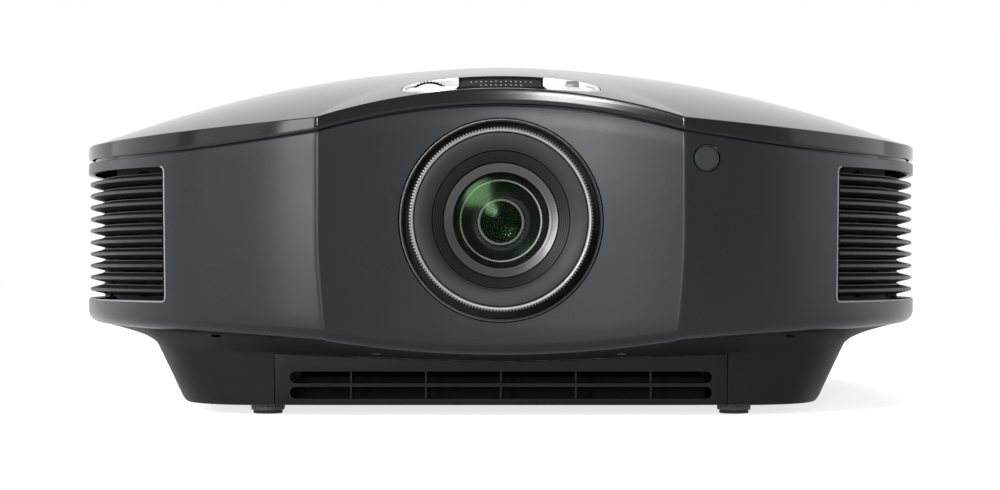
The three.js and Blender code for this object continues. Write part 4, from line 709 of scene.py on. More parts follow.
def band_section(s):
    """Closed section of the lid's shining edge."""
    lip, foot = lip_z(s), band_foot_z(s)
    row = [(LIP_EDGE * a, lip - LIP_EDGE * d) for a, d in quarter(5)]
    row += [(0, z) for z in np.linspace(lip - LIP_EDGE, foot + 0.4, 4)[1:-1]]
    row += [(0.4 * d, foot + 0.4 * a) for a, d in quarter(3)]
    row += [(BAND_DEPTH - 0.2, foot), (BAND_DEPTH - 0.2, lip - 0.1)]
    return [inside(s, d, z) for d, z in row]


def make_lid():
    rows = np.array([dome_section(s) for s in places(-1, 1)[:-1]])
    stations, columns = rows.shape[:2]
    faces = strips(stations, columns, closed_rows=True)
    top = [i * columns for i in range(stations)]
    under = [i * columns + columns - 1 for i in range(stations)]
    lid = outward(mesh_object("lid", rows.reshape(-1, 3), faces + [top, under[::-1]]))
    cut(lid, extruded("tool", "z", recess_loop(0), (0, 0, 0), LIP_SIDE_Z, LID_PEAK_Z + 5))
    finish(lid, LID_PAINT, stands_for=["top_cover"], sharp=24)
    band = lofted("lid_band", [band_section(s) for s in places(-1, 1)[:-1]], closed=True)
    finish(band, LACQUER, sharp=50)


# ---- Walls -----------------------------------------------------------------------------------------

def wall_section(s):
    """Closed section of a wall: its outer face, the round hem and its inner face."""
    top, hem = wall_top_z(s), hem_z(s)
    section = [(WALL_EDGE * a, top - WALL_EDGE * d) for a, d in quarter(4)]
    section += [(0, z) for z in np.linspace(top - 1, hem + HEM_RADIUS, 14)[1:-1]]
    for angle in np.linspace(0, math.pi / 2, 10):
        section.append((HEM_RADIUS * (1 - math.cos(angle)), hem + HEM_RADIUS * (1 - math.sin(angle))))
    section += [(HEM_RADIUS, hem + WALL), (WALL, hem + WALL + HEM_RADIUS), (WALL, top)]
    return section


def wrapped(s):
    """A place on the outline, carried on past the middle of the back."""
    return s - 2 if s > 1 else s


def wall(name, stations):
    return lofted(name, [[inside(s, d, z) for d, z in wall_section(s)] for s in map(wrapped, stations)])


def along_outline(name, stations, section):
    """A solid with one section of (depth, height) at each of some places on the outline."""
    return lofted(name, [[inside(s, d, z) for d, z in section] for s in stations])


def strip_solid(name, reach, depth, height, steps):
    """A solid that follows the left side's outline between two places, depths and heights."""
    (near, far), (z0, z1) = depth, height
    section = ((near, z0), (far, z0), (far, z1), (near, z1))
    return along_outline(name, [-place_at(y) for y in np.linspace(*reach, steps)], section)


def vent_loop():
    """Outline of a vent's opening as (share of its length, height), round at its inner corners."""
    corner_s = VENT_CORNER / VENT_LENGTH
    arc = [(corner_s * across, VENT_CORNER * down) for across, down in quarter(6)]
    top = [(along, VENT_TOP_Z - drop) for along, drop in arc]
    foot = [(along, VENT_FOOT_Z + drop) for along, drop in reversed(arc)]
    return top + foot


def vent_s(side, share):
    """The place a share of the way along a vent, from its inner end."""
    return side * float(np.interp(share, VENT_SHARES, VENT_PLACES))


def vent_tool(side):
    """A solid that takes a vent's opening out of the wall."""
    loop = vent_loop()
    rounds = sorted({share for share, _ in loop})
    rows = []
    for share in rounds + list(np.linspace(rounds[-1], 1, 24)[1:]):
        short = max(0, 1 - share * VENT_LENGTH / VENT_CORNER)
        drop = VENT_CORNER * (1 - math.sqrt(1 - short ** 2))
        low, high = VENT_FOOT_Z + drop, VENT_TOP_Z - drop
        section = ((-4, low), (9, low), (9, high), (-4, high))
        rows.append([inside(vent_s(side, share), d, z) for d, z in section])
    return lofted("tool", rows)


def make_vent_rim(side, word):
    """A pale tube as a painted highlight on a vent's edge, at its inner end and its foot."""
    foot = [(share, VENT_FOOT_Z) for share in np.linspace(VENT_CORNER / VENT_LENGTH, 1, 40)[1:]]
    points = []
    for share, z in vent_loop() + foot:
        sunk = VENT_RIM * min(1.1, 0.25 + 1.7 * share)
        points.append(inside(vent_s(side, share), sunk, z))
    rim = tube(f"vent_rim_{word}", points, VENT_RIM)
    finish(rim, VENT_EDGE_HIGHLIGHT)


def make_front_panel():
    panel = wall("front_shell", places(-SPLIT_S, SPLIT_S))
    bore = disc("tool", "y", (0, PANEL_Y, LENS_Z), BEZEL_RADIUS + CLEARANCE, -40, 40, 180)
    window = disc("tool", "y", tuple(IR_FRONT), IR_RADIUS + CLEARANCE, -30, 30, 64)
    cut(panel, bore, window, vent_tool(-1), vent_tool(1))
    finish(panel, PAINT, stands_for=["front_panel"], sharp=28)


def make_rear_cover():
    first = [place_at(y) for y in np.arange(SPLIT_Y + SEAM, DOOR_LOW[1] + 60, 6)]
    half = first + places(first[-1], 1, 0.005)[1:]
    cover = wall("rear_shell", half + [2 - s for s in half[::-1][1:]])
    back = (REAR_Y - 20, REAR_Y + 5)
    side_cut = extruded(
        "tool", "x", rounded_loop(*SIDE_WINDOW_SIZE, 4), (0, *SIDE_WINDOW_MIDDLE),
        HALF_WIDTH - 16, HALF_WIDTH + 5)
    doorway = strip_solid(
        "tool", (DOOR_LOW[1] - DOOR_GAP, DOOR_HIGH[1] + DOOR_GAP), (-4, 6),
        (DOOR_LOW[2] - DOOR_GAP, DOOR_HIGH[2] + DOOR_GAP), 40)
    inlet_middle = ((INLET_LOW[0] + INLET_HIGH[0]) / 2, 0, INLET_Z)
    inlet_mouth = extruded("tool", "y", rounded_loop(*INLET_MOUTH), inlet_middle, *back)
    intake = extruded("tool", "y", rounded_loop(*INTAKE_SIZE, 4), (INTAKE_X, 0, INTAKE_Z), *back)
    window = disc("tool", "y", tuple(IR_REAR), IR_RADIUS + CLEARANCE, -20, 20, 64)
    cut(cover, side_cut, doorway, inlet_mouth, intake, window)
    finish(cover, PAINT, stands_for=["rear_cover"], sharp=28)


def louvre_section(tip, deep):
    """Closed section of a louvre: a round nose that widens to its root, with a fine lip on top of it."""
    turns = np.linspace(0, math.pi * 0.45, 5)
    upper = [
        (GRILLE_RECESS + LOUVRE_NOSE * (1 - math.cos(a)), tip + LOUVRE_NOSE * math.sin(a)) for a in turns]
    for share in (0.35, 0.7, 0.93):
        swell = LOUVRE_NOSE + (LOUVRE_ROOT - LOUVRE_NOSE) * share ** 1.25
        upper.append((GRILLE_RECESS + deep * share, tip + swell))
    root = GRILLE_RECESS + deep
    lip = [(root - 0.4, tip + LOUVRE_ROOT + 0.25), (root, tip + LOUVRE_ROOT + 0.25)]
    lower = [(d, 2 * tip - z) for d, z in [*upper, (root, tip + LOUVRE_ROOT)][::-1]]
    return upper + lip + lower[:-1]


def make_grille(side, word):
    """The louvres of one corner and their end posts."""
    middle = (VENT_TOP_Z + VENT_FOOT_Z) / 2
    stations = [vent_s(side, share) for share in np.linspace(0.012, 0.988, 44)]
    parts = []
    for i in range(LOUVRE_COUNT):
        tip = middle + (i - (LOUVRE_COUNT - 1) / 2) * LOUVRE_PITCH
        section = louvre_section(tip, LOUVRE_DEPTH)
        parts.append(along_outline("louvre", stations, section))
    z0, z1 = VENT_FOOT_Z + CLEARANCE, VENT_TOP_Z - CLEARANCE
    for share in (0.0, 0.97):
        ends = [vent_s(side, share + k) for k in (0.004, 0.012, 0.022)]
        section = ((5, z0), (9, z0), (9, z1), (5, z1))
        parts.append(along_outline("post", ends, section))
    grille = joined(f"louvres_{word}", parts)
    finish(grille, GRILLE, stands_for=[f"exhaust_grille_{word}"], sharp=40)


def make_rear_grille():
    low, high = edges("rear_intake_grille")
    rows, columns = 12, 3
    pitch = (high[2] - low[2] - 6) / rows
    width = (high[0] - low[0] - 12) / columns
    plate = block("rear_grille", tuple(low), tuple(high))
    slot = rounded_loop(width - 3, pitch * 0.55, pitch * 0.27)
    tools = []
    for i in range(rows):
        z = low[2] + 3 + (i + 0.5) * pitch
        for j in range(columns):
            x = low[0] + 6 + (j + 0.5) * width
            tools.append(extruded("tool", "y", slot, (x, 0, z), low[1] - 2, high[1] + 2))
    cut(plate, joined("tool", tools))
    bevelled(plate, 0.3, 1)
    finish(plate, GRILLE, stands_for=["rear_intake_grille"])


# ---- Base ------------------------------------------------------------------------------------------

def base_point(s, half, front, back, z):
    """The point of a superellipse round the base's middle, in the direction of the outline's point."""
    x, y = outline(s)
    along = y - BASE_MIDDLE_Y
    reach = BASE_MIDDLE_Y - front if along < 0 else back - BASE_MIDDLE_Y
    size = ((abs(x) / half) ** BASE_POWER + (abs(along) / reach) ** BASE_POWER) ** (1 / BASE_POWER)
    return np.array([x / size, BASE_MIDDLE_Y + along / size, z])


def base_front_y(x, half, front):
    return BASE_MIDDLE_Y - (BASE_MIDDLE_Y - front) * (1 - (abs(x) / half) ** BASE_POWER) ** (1 / BASE_POWER)


def base_top_z(x, y):
    if y > BASE_MIDDLE_Y:
        return BASE_TOP_SIDE_Z
    share = min(1, abs(x) / BASE_TOP_HALF)
    return BASE_TOP_CENTRE_Z + (BASE_TOP_SIDE_Z - BASE_TOP_CENTRE_Z) * share ** 1.3


def make_base():
    stations = places(-1, 1)[:-1]

    def foot(s, inset=0.0, z=BASE_FOOT_Z):
        draft = BASE_DRAFT + inset
        return base_point(s, BASE_FOOT_HALF - inset, BASE_FRONT_Y + draft, BASE_REAR_Y - draft, z)

    def top(s, inset=0.0, lift=0.0):
        point = base_point(s, BASE_TOP_HALF - inset, BASE_FRONT_Y + inset, BASE_REAR_Y - inset, 0)
        point[2] = base_top_z(point[0], point[1]) + lift
        return point

    def rim(s, lift=0.0):
        return np.array(inside(s, HEM_RADIUS + CLEARANCE, hem_z(s) + lift))

    def between(low, high, share):
        return lambda s: low(s) * (1 - share) + high(s) * share

    def rounded_foot(share):
        inset, lift = BASE_EDGE * 0.75 * (1 - share) ** 2, BASE_EDGE * 0.6 * share ** 2
        return lambda s: foot(s, inset) + np.array([0, 0, lift])

    loops = [rounded_foot(k) for k in (0, 0.3, 0.6)]
    loops += [between(foot, top, k) for k in (0.1, 0.3, 0.5, 0.7, 0.9, 0.97)]
    loops += [between(top, rim, k) for k in (0.03, 0.3, 0.6, 1)]
    loops += [lambda s: rim(s, FLOOR), lambda s: top(s, FLOOR, FLOOR), lambda s: foot(s, FLOOR, FLOOR_Z)]
    pan = lofted("base_pan", [[loop(s) for s in stations] for loop in loops])
    tools = [across_base("tool", DRAWER_HALF + CLEARANCE, (-FLOOR, 2 * FLOOR), -FLOOR, 0, 40)]
    for x, y in FEET:
        tools.append(disc("tool", "z", (x, y, 0), FOOT_BORE, 0, 40, 24))
    for x, z in BASE_NOTCHES:
        y = base_front_y(min(abs(x), 150), BASE_TOP_HALF, BASE_FRONT_Y)
        tools.append(extruded("tool", "y", rounded_loop(4.5, 1.1, 0.5), (x, 0, z), y - 24, y + 4))
    cut(pan, *tools)
    finish(pan, MOULDING, stands_for=["bottom_tray"], sharp=28)


def across_base(name, half, depth, foot_z, top_gap, steps):
    """A solid between two heights that follows the base's front face across the drawer."""
    near, far = depth
    sections = []
    for x in np.linspace(-half, half, steps):
        low = base_front_y(x, BASE_FOOT_HALF, BASE_FRONT_Y + BASE_DRAFT)
        high = base_front_y(x, BASE_TOP_HALF, BASE_FRONT_Y)
        top = base_top_z(x, BASE_FRONT_Y) - top_gap
        loop = [(low + near, foot_z), (low + far, foot_z), (high + far, top), (high + near, top)]
        sections.append([(x, y, z) for y, z in loop])
    return lofted(name, sections)


def make_drawer():
    """The drawer: its front with two rows of slots, thin posts set back in them, and its tray."""
    front = across_base("drawer", DRAWER_HALF, (0, FLOOR), BASE_FOOT_Z + CLEARANCE, CLEARANCE, 40)
    bevelled(front, 0.35, 2, 50)
    half = DRAWER_HALF - 7
    start, end = BASE_FRONT_Y + FLOOR, DRAWER_HIGH[1]
    foot = FLOOR_Z + CLEARANCE
    tray = block("tray", (-half, start - 1, foot), (half, end, foot + 11))
    bay = block("tool", (2 - half, start + 3 * FLOOR, foot - 3), (half - 2, end - 2, foot + 14))
    cut(tray, bay)
    slot = rounded_loop(2 * SLOT_HALF, SLOT_HEIGHT, SLOT_HEIGHT * 0.48)
    tools = []
    for z in SLOT_ROWS_Z:
        tools.append(extruded("tool", "y", slot, (0, 0, z), BASE_FRONT_Y - 5, BASE_FRONT_Y + 5.2))
        low, high = (-SLOT_HALF - 1, BASE_FRONT_Y - 1, z - 2.6), (SLOT_HALF + 1, end - 4, z + 2.6)
        tools.append(block("tool", low, high))
    cut(front, *tools[0::2])
    cut(tray, *tools[1::2])
    parts = [front, tray]
    for i in range(-2, 3):
        x = i * POST_PITCH
        low = (x - POST_WIDTH / 2, BASE_FRONT_Y + 1.6, SLOT_ROWS_Z[0] - 3)
        high = (x + POST_WIDTH / 2, start + 2, SLOT_ROWS_Z[1] + 3)
        parts.append(bevelled(block("post", low, high), 0.2, 1))
    drawer = joined("drawer_front", parts)
    finish(drawer, MOULDING, "filter_drawer", ["filter_drawer"], sharp=30)


def make_feet():
    def knurled(name, place, radius, z0, z1, ribs, inner, node):
        edge = 0.5
        profile = [
            (inner, z0), (radius - edge, z0), (radius, z0 + edge), (radius, z1 - edge), (radius - edge, z1),
            (inner, z1)]

        def ribbed(reach, j, i):
            if j not in (2, 3):
                return reach
            return reach - (0.45 if i % 4 in (0, 1) else 0.1)

        piece = turned(name, "z", place, profile, ribs * 4, ribbed)
        finish(piece, KNOB, node, [node], sharp=30)

    for word, (x, y) in zip(("left", "right"), FEET[:2]):
        node = f"front_foot_knob_{word}"
        low, high = edges(node)
        knurled(f"foot_knob_{word}", (x, y, 0), high[0] - x, low[2], high[2], 22, FOOT_BORE, node)
        pad = turned(f"foot_pad_{word}", "z", (x, y, 0), [
            (AXIS, 0.0), (4.9, 0.0), (5.2, 0.3), (5.6, 0.3), (5.9, 0), (6.3, 0.05), (6.6, 0.4), (6.6, 0.9),
            (6.3, 1.2), (2.9, 1.2), (2.9, 18), (AXIS, 18)], 64)
        finish(pad, RUBBER, f"front_foot_{word}", [f"front_foot_{word}"])
    for word, (x, y) in zip(("left", "right"), FEET[2:]):
        foot = turned(f"rear_pad_{word}", "z", (x, y, 0), [
            (AXIS, 0), (5.5, 0), (5.8, 0.35), (6.2, 0.35), (6.6, 0.05), (7.2, 0.3), (7.6, 0.9), (7.6, 4.3),
            (2.9, 4.3), (2.9, 9), (AXIS, 9)], 64)
        finish(foot, RUBBER, stands_for=[f"rear_foot_{word}"])


# ---- Recess and dials ------------------------------------------------------------------------------

def make_recess():
    """The silver tray under the lid's opening, with the wells of the two dials."""
    def loop(inset, z):
        return [(x, y, z) for x, y in recess_loop(inset)]

    outer, inner = CLEARANCE, CLEARANCE + 2
    loops = [loop(outer, RECESS_FLOOR_Z - 2)]
    for inset, sink in ((outer, 0.5), (outer + 0.3, 0.2), (outer + 1.2, 0.2), (inner, 0.9)):
        loops.append([(x, y, dome_z(x, y) - sink) for x, y in recess_loop(inset)])
    loops.append(loop(inner, RECESS_FLOOR_Z + 2))
    for across, down in ((0.7, 0.3), (0.3, 0.7)):
        loops.append(loop(inner + 1.5 * (1 - across), RECESS_FLOOR_Z + 1.5 * (1 - down)))
    loops.append(loop(inner + 1.5, RECESS_FLOOR_Z))
    tray = lofted("recess_tray", loops)
    long, wide = DIAL_RADIUS + 0.5, DIAL_THICKNESS / 2 + 0.5
    for x, half_x, half_y in ((-DIAL_X, long, wide), (DIAL_X, wide, long)):
        mouth = rounded_loop(2 * half_x, 2 * half_y, 0.6)
        cut(tray, extruded("tool", "z", mouth, (x, DIAL_Y, 0), RECESS_FLOOR_Z - 3, RECESS_FLOOR_Z + 3))
    finish(tray, WELL, stands_for=["dial_recess_tray"], sharp=40)
    tray.data.materials.append(ISLAND)
    for face in tray.data.polygons:
        if abs(face.center.x) < (ISLAND_HALF + 2) * MM:
            face.material_index = 1


def make_island():
    """The dark block between the wells, with two rows of plain ticks on it."""
    low, high = edges("dial_island")
    sections = []
    for y in np.linspace(low[1], high[1], 24):
        tops = [(x, dome_z(x, y) - 1.2) for x in np.linspace(-ISLAND_HALF, ISLAND_HALF, 17)]
        soft = [(-ISLAND_HALF - 0.02, tops[0][1] - 0.6), (-ISLAND_HALF + 0.5, tops[0][1] - 0.05)]
        sections.append([(x, y, z) for x, z in (
            [(-ISLAND_HALF, low[2]), soft[0], soft[1]] + tops[1:-1]
            + [(-soft[1][0], soft[1][1]), (-soft[0][0], soft[0][1]), (ISLAND_HALF, low[2])])])
    island = lofted("dial_island_top", sections)
    finish(island, ISLAND, stands_for=["dial_island"], sharp=40)
    marks = []
    for row_y, count, long in ((DIAL_Y - 12, 9, 1.6), (DIAL_Y + 3, 13, 2.4)):
        for i in range(count):
            x = (i - (count - 1) / 2) * MARK_PITCH
            reach = long if i % 2 else long * 0.6
            z = dome_z(x, row_y) - 1.2
            low, high = (x - 0.28, row_y - reach, z - 0.2), (x + 0.28, row_y + reach, z + 0.12)
            marks.append(block("mark", low, high))
    finish(joined("dial_marks", marks), MARKING)


def make_dial(name, axis, side, low, high):
    """A shift dial with a knurled edge, on its shaft with a bevel gear."""
    half = DIAL_THICKNESS / 2
    reach = high - low
    profile = [
        (AXIS, -half), (8.5, -half), (9.2, -half + 0.5), (10.6, -half + 0.5), (DIAL_RADIUS - 0.6, -half),
        (DIAL_RADIUS, -half + 0.6), (DIAL_RADIUS, half - 0.6), (DIAL_RADIUS - 0.6, half), (2.2, half),
        (2.2, reach - half - 2), (4, reach - half - 2), (2, reach - half), (AXIS, reach - half)]

    def knurled(radius, j, i):
        return radius - (0.55 if j in (5, 6) and i % 4 in (0, 1) else 0)

    return turned(name, axis, (side * DIAL_X, DIAL_Y, DIAL_Z), profile, 192, knurled)


def make_dials():
    low, high = edges("horizontal_shift_dial")
    dial = make_dial("shift_wheel_left", "y", -1, low[1], high[1])
    finish(dial, DIAL_METAL, "horizontal_shift_dial", ["horizontal_shift_dial"], sharp=30)
    low, high = edges("vertical_shift_dial")
    dial = make_dial("shift_wheel_right", "x", 1, low[0], high[0])
    finish(dial, DIAL_METAL, "vertical_shift_dial", ["vertical_shift_dial"], sharp=30)


# ---- Lens ------------------------------------------------------------------------------------------

def lens_piece(name, profile, material, body="lens", node=(), segments=240, radius_at=None, sharp=30):
    """A turned piece round the lens axis; distances run back from the face of the focus ring."""
    piece = turned(name, "y", (0, RING_FRONT_Y, LENS_Z), profile, segments, radius_at)
    return finish(piece, material, body, list(node), sharp)


def make_focus_ring():
    """The bright ring: a plain inner band, a fine groove and an outer band with pointed teeth."""
    inner, outer, length = 36.9, RING_HIGH[0], RING_HIGH[1] - RING_LOW[1]
    groove = outer - 1.15
    profile = [
        (inner, 0.45), (inner + 0.4, 0.08), (groove - 0.12, 0.02), (groove, 0.16), (groove + 0.12, 0.0),
        (outer - 0.5, 0.12), (outer, 0.7), (outer, length - 0.4), (outer - 0.4, length), (inner, length)]

    def teeth(radius, j, i):
        depth = (0.0, 0.5, 1.1, 0.5)[i % 4]
        return radius - (depth if j in (6, 7) else 0.6 * depth if j in (5, 8) else 0)

    lens_piece(
        "knurled_ring", profile, RING_SILVER, "focus_ring", ["focus_ring"], RING_TEETH * 4,
        teeth, 25)


def make_zoom_ring():
    low, high = edges("zoom_ring")
    start, end = low[1] - RING_FRONT_Y, high[1] - RING_FRONT_Y
    profile = [
        (35.8, start), (high[0] - 0.4, start), (high[0], start + 0.4), (high[0], end - 0.4),
        (high[0] - 0.4, end), (35.8, end)]

    def ribs(radius, j, i):
        return radius - (0.5 if j in (2, 3) and i % 6 in (0, 1) else 0)

    lens_piece("zoom_grip", profile, LENS_BLACK, "zoom_ring", ["zoom_ring"], 100 * 6, ribs)


def make_hood():
    """The flat face and the ribbed cone, and inside it the shining cell of the front lens."""
    face, cone, depth, ribs = 28.9, 24.3, 18.0, 6
    profile = [(36.6, 1.3), (36.35, 0.8), (30.6, 0.8), (30.0, 1.0), (face + 0.3, 1.2), (face, 1.6)]
    for i in range(ribs):
        for share, dip in ((0.1, 0.0), (0.45, 0.55), (0.95, 0.55)):
            along = (i + share) / ribs
            profile.append((face + (cone - face) * along + dip, 1.8 + (depth - 1.8) * along))
    profile += [
        (cone + 0.5, depth), (cone + 0.5, 26), (25.5, 26), (25.5, depth + 1), (30.8, 9.8), (36.6, 9.8)]
    lens_piece("hood", profile, LENS_PAINT, node=["lens_hood"], segments=256, sharp=35)
    cell = [
        (24.7, 17.9), (24.3, 17.7), (24.0, 17.8), (23.6, 18.0), (22.6, 18.5), (21.6, 19.0), (21.2, 19.3),
        (20.9, 19.3), (20.6, 19.5), (20.3, 20.1), (20.2, 20.8), (20.2, 21.4), (22.9, 21.5), (22.9, 27.5),
        (24.7, 27.5)]
    lens_piece("front_cell", cell, CELL, segments=200, sharp=40)


def lens_dome(radius, start, bulge, thickness, rear_bulge):
    """Profile of a lens element with a bulging front and back."""
    shares = np.linspace(0.0004, 1, 14)
    front = [(radius * k, start - bulge * (1 - k ** 2)) for k in shares]
    back = [(radius * k, start + thickness + rear_bulge * (1 - k ** 2)) for k in shares[::-1]]
    return front + back


def make_glass():
    """The elements and the rings that show through the front one, the pale ones a painted highlight."""
    lens_piece(
        "front_element", lens_dome(22.5, 22.0, 3.2, 1.6, -1.2), FRONT_GLASS,
        node=["front_lens"], segments=160)
    lens_piece(
        "inner_element", lens_dome(17.6, 36.5, 3.0, 1.4, 0.6), INNER_GLASS, segments=128)
    lens_piece("inner_cell", [
        (20.6, 28.0), (20.2, 28.6), (19.6, 31.0), (18.4, 32.8), (17.6, 33.4), (17.2, 33.5), (17.2, 34.1),
        (17.6, 34.4), (17.8, 39), (16.4, 41.5), (13.5, 47), (12.6, 53), (13.2, 58), (21, 60), (26, 60),
        (26, 28.0)],
        LENS_BLACK, segments=160)
    lens_piece("cell_ring", [
        (17.15, 33.9), (17.35, 33.5), (17.75, 33.2), (18.0, 33.5), (17.8, 34.2), (17.3, 34.3)],
        GLINT_PAINTED_RING, segments=160)
    start = edges("aperture_ring")[0][1] - RING_FRONT_Y
    lens_piece("aperture_plate", [
        (9.4, start + 1.6), (9.5, start + 0.7), (10.6, start), (11.0, start + 0.1), (11.2, start + 0.6),
        (14, start + 0.9), (31, start + 1.2), (31.4, start + 3), (9.4, start + 3)],
        LENS_BLACK, node=["aperture_ring"], segments=160)
    lens_piece("pupil_ring", [
        (9.35, start + 0.5), (9.5, start - 0.1), (9.9, start - 0.3), (10.3, start - 0.1),
        (10.45, start + 0.5)],
        GLINT_PAINTED_RING, segments=120)
    lens_piece(
        "pupil_element", lens_dome(9.3, start + 2.4, -0.65, 1.2, 0.4), INNER_GLASS,
        segments=96)
    start = edges("rear_lens")[0][1] - RING_FRONT_Y + 2.6
    lens_piece(
        "rear_element", lens_dome(31.3, start, 2.6, 3, 1.2), INNER_GLASS,
        node=["rear_lens"], segments=96)


def make_bezel():
    outer = BEZEL_RADIUS
    start, end = BEZEL_LOW[1] - RING_FRONT_Y, BEZEL_HIGH[1] - RING_FRONT_Y
    profile = [
        (outer, start + 0.3), (outer - 0.25, start), (outer - 0.75, start), (outer - 1.0, start + 0.3),
        (outer - 1.0, end), (outer, end)]
    lens_piece("lens_surround", profile, BEZEL, "root", ["lens_bezel"])
    slope = [
        (outer - 1.0, start + 0.8), (outer - 1.2, start + 0.8), (outer - 1.45, start + 1.8),
        (outer - 1.6, start + 3.2), (outer - 1.6, start + 4.6), (outer - 1.0, start + 4.6)]
    lens_piece("lens_throat", slope, THROAT, "root", segments=200)


def make_receiver(name, node, rear=False):
    """A dark flat window for a remote control's signal, flush with the wall and turned as the wall is."""
    low, high = edges(node)
    middle = (low + high) / 2
    radius, half = IR_RADIUS, (high[1] - low[1]) / 2
    profile = [
        (AXIS, 0.25), (radius - 0.75, 0.25), (radius - 0.55, 0.4), (radius - 0.35, 0.1), (radius - 0.1, 0.1),
        (radius, 0.3), (radius, half), (AXIS, half)]
    if rear:
        place, turn = (middle[0], high[1], middle[2]), math.pi
    else:
        s = find_s(CREASE_S, WIDEST_S, lambda x, _: x > middle[0])
        (xa, ya, _), (xb, yb, _) = (inside(s + step, 0, middle[2]) for step in (-0.004, 0.004))
        place, turn = inside(s, 0, middle[2]), math.atan2(yb - ya, xb - xa)
    window = turned(name, "y", (0, 0, 0), profile, 96)
    window.data.transform(Matrix.Translation(Vector(place) * MM) @ Matrix.Rotation(turn, 4, "Z"))
    finish(window, WINDOW, stands_for=[node])


# ---- Side panel ------------------------------------------------------------------------------------

def socket_place(node):
    low, high = edges(node)
    return (low[1] + high[1]) / 2, (low[2] + high[2]) / 2


def shell_ring(name, loop, wall_width, place, x0, x1):
    """A thin metal shell along X whose outline is a loop of (y, z)."""
    y0, z0 = place
    scale = np.max(np.abs(np.array(loop)), axis=0)

    def ring(share, x):
        return [(x, y0 + y * (1 - share / scale[0]), z0 + z * (1 - share / scale[1])) for y, z in loop]

    sections = [ring(0, x0), ring(0, x1), ring(wall_width, x1), ring(wall_width, x0 + 1)]
    return lofted(name, sections, closed=True)


def d_loop(width, height, slant, radius=0.9):
    """A D-shaped outline, narrower at its foot, with round corners."""
    half, top = width / 2, height / 2
    return rounded_corners([(half - slant, -top), (half, top), (-half, top), (slant - half, -top)], radius)


def make_slit_socket(node, word):
    y, z = socket_place(node)
    x = PLATE_X + 0.6
    outer = d_loop(15, 6.4, 1.6)
    shell = shell_ring(f"slit_shell_{word}", outer, 0.5, (y, z), x - 13, x)
    finish(shell, SOCKET_METAL, stands_for=[node])
    back = extruded(f"slit_inside_{word}", "x", d_loop(13.6, 5, 1.4), (0, y, z), x - 12.6, x - 9)
    finish(back, SOCKET_BLACK)
    tongue = block(f"slit_tongue_{word}", (x - 12, y - 5.4, z - 0.2), (x - 1, y + 5.4, z + 1.1))
    finish(bevelled(tongue, 0.25), SOCKET_BLACK)


def make_shell_socket(node, word, material, rows):
    """A D-shaped socket: its flange, its shell, its insulator with pin holes and two hexagonal posts."""
    y, z = socket_place(node)
    x = PLATE_X
    flange = extruded(f"flange_{word}", "x", rounded_loop(18, 9.6, 1.5), (0, y, z), x - 4, x + 0.6)
    finish(flange, SOCKET_METAL, stands_for=[node])
    shell = shell_ring(f"collar_{word}", d_loop(12.6, 7.4, 1.2), 0.4, (y, z), x + 0.5, x + 5)
    finish(shell, SOCKET_METAL)
    insert = extruded(f"insulator_{word}", "x", d_loop(11.4, 6.2, 1.1), (0, y, z), x + 0.4, x + 4.2)
    holes = []
    for i, count in enumerate(rows):
        row_z = z + (i - (len(rows) - 1) / 2) * -1.7
        for j in range(count):
            holes.append(disc("tool", "x", (x, y + (j - (count - 1) / 2) * 1.9, row_z), 0.42, 2, 6, 10))
    cut(insert, *holes)
    finish(insert, material)
    posts = []
    for side in (-1, 1):
        posts.append(turned("post", "x", (x, y + side * 7.6, z), [
            (0.7, 0.5), (1.35, 0.5), (1.35, 3.4), (1.1, 3.8), (0.7, 3.8), (0.7, 1.4)], 6))
    finish(joined(f"jack_posts_{word}", posts), STEEL)


def make_network_socket():
    low, high = edges("network_socket")
    y, z = socket_place("network_socket")
    body = block("network_shell", tuple(low), tuple(high))
    mouth = block("tool", (low[0] + 2, y - 6.0, z - 4.6), (high[0] + 2, y + 6.0, z + 3.4))
    key = block("tool", (low[0] + 4, y - 3.1, z + 3.2), (high[0] + 2, y + 3.1, z + 4.6))
    latch = block("tool", (low[0] + 4, y - 1.8, z + 4.4), (high[0] + 2, y + 1.8, z + 5.6))
    cut(body, mouth, key, latch)
    finish(bevelled(body, 0.25, 2), SOCKET_METAL, stands_for=["network_socket"])
    pins = []
    for i in range(8):
        pin_y = y + (i - 3.5) * CONTACT_PITCH
        path = [(high[0] - back, pin_y, z - down) for back, down in ((2, 4.3), (3, 4.0), (9, 1.2), (11, 0.6))]
        pins.append(tube("pin", path, 0.22, 6))
    finish(joined("network_contacts", pins), BRASS)


def make_component_sockets():
    low, high = edges("component_sockets")
    y, z = socket_place("component_sockets")
    body = bevelled(block("jack_body", tuple(low), (PLATE_X + 0.6, high[1], high[2])), 0.4, 2)
    finish(body, SOCKET_BLACK, stands_for=["component_sockets"])
    for i, (word, material) in enumerate((("green", JACK_GREEN), ("blue", JACK_BLUE), ("red", JACK_RED))):
        place = (PLATE_X, y + (i - 1) * JACK_PITCH, z)
        barrel = turned(f"jack_{word}", "x", place, [
            (3.3, 0.4), (4.1, 0.4), (4.1, 1.0), (3.95, 1.2), (3.95, 7.1), (3.7, 7.5), (3.3, 7.5)], 48)
        finish(barrel, SOCKET_METAL)
        insert = turned(f"jack_insert_{word}", "x", place, [
            (1.0, 2.5), (1.0, 6.6), (1.4, 6.9), (3.0, 6.9), (3.2, 6.6), (3.2, 0.4), (0.3, 0.4), (0.3, 2.5)],
            48)
        finish(insert, material)


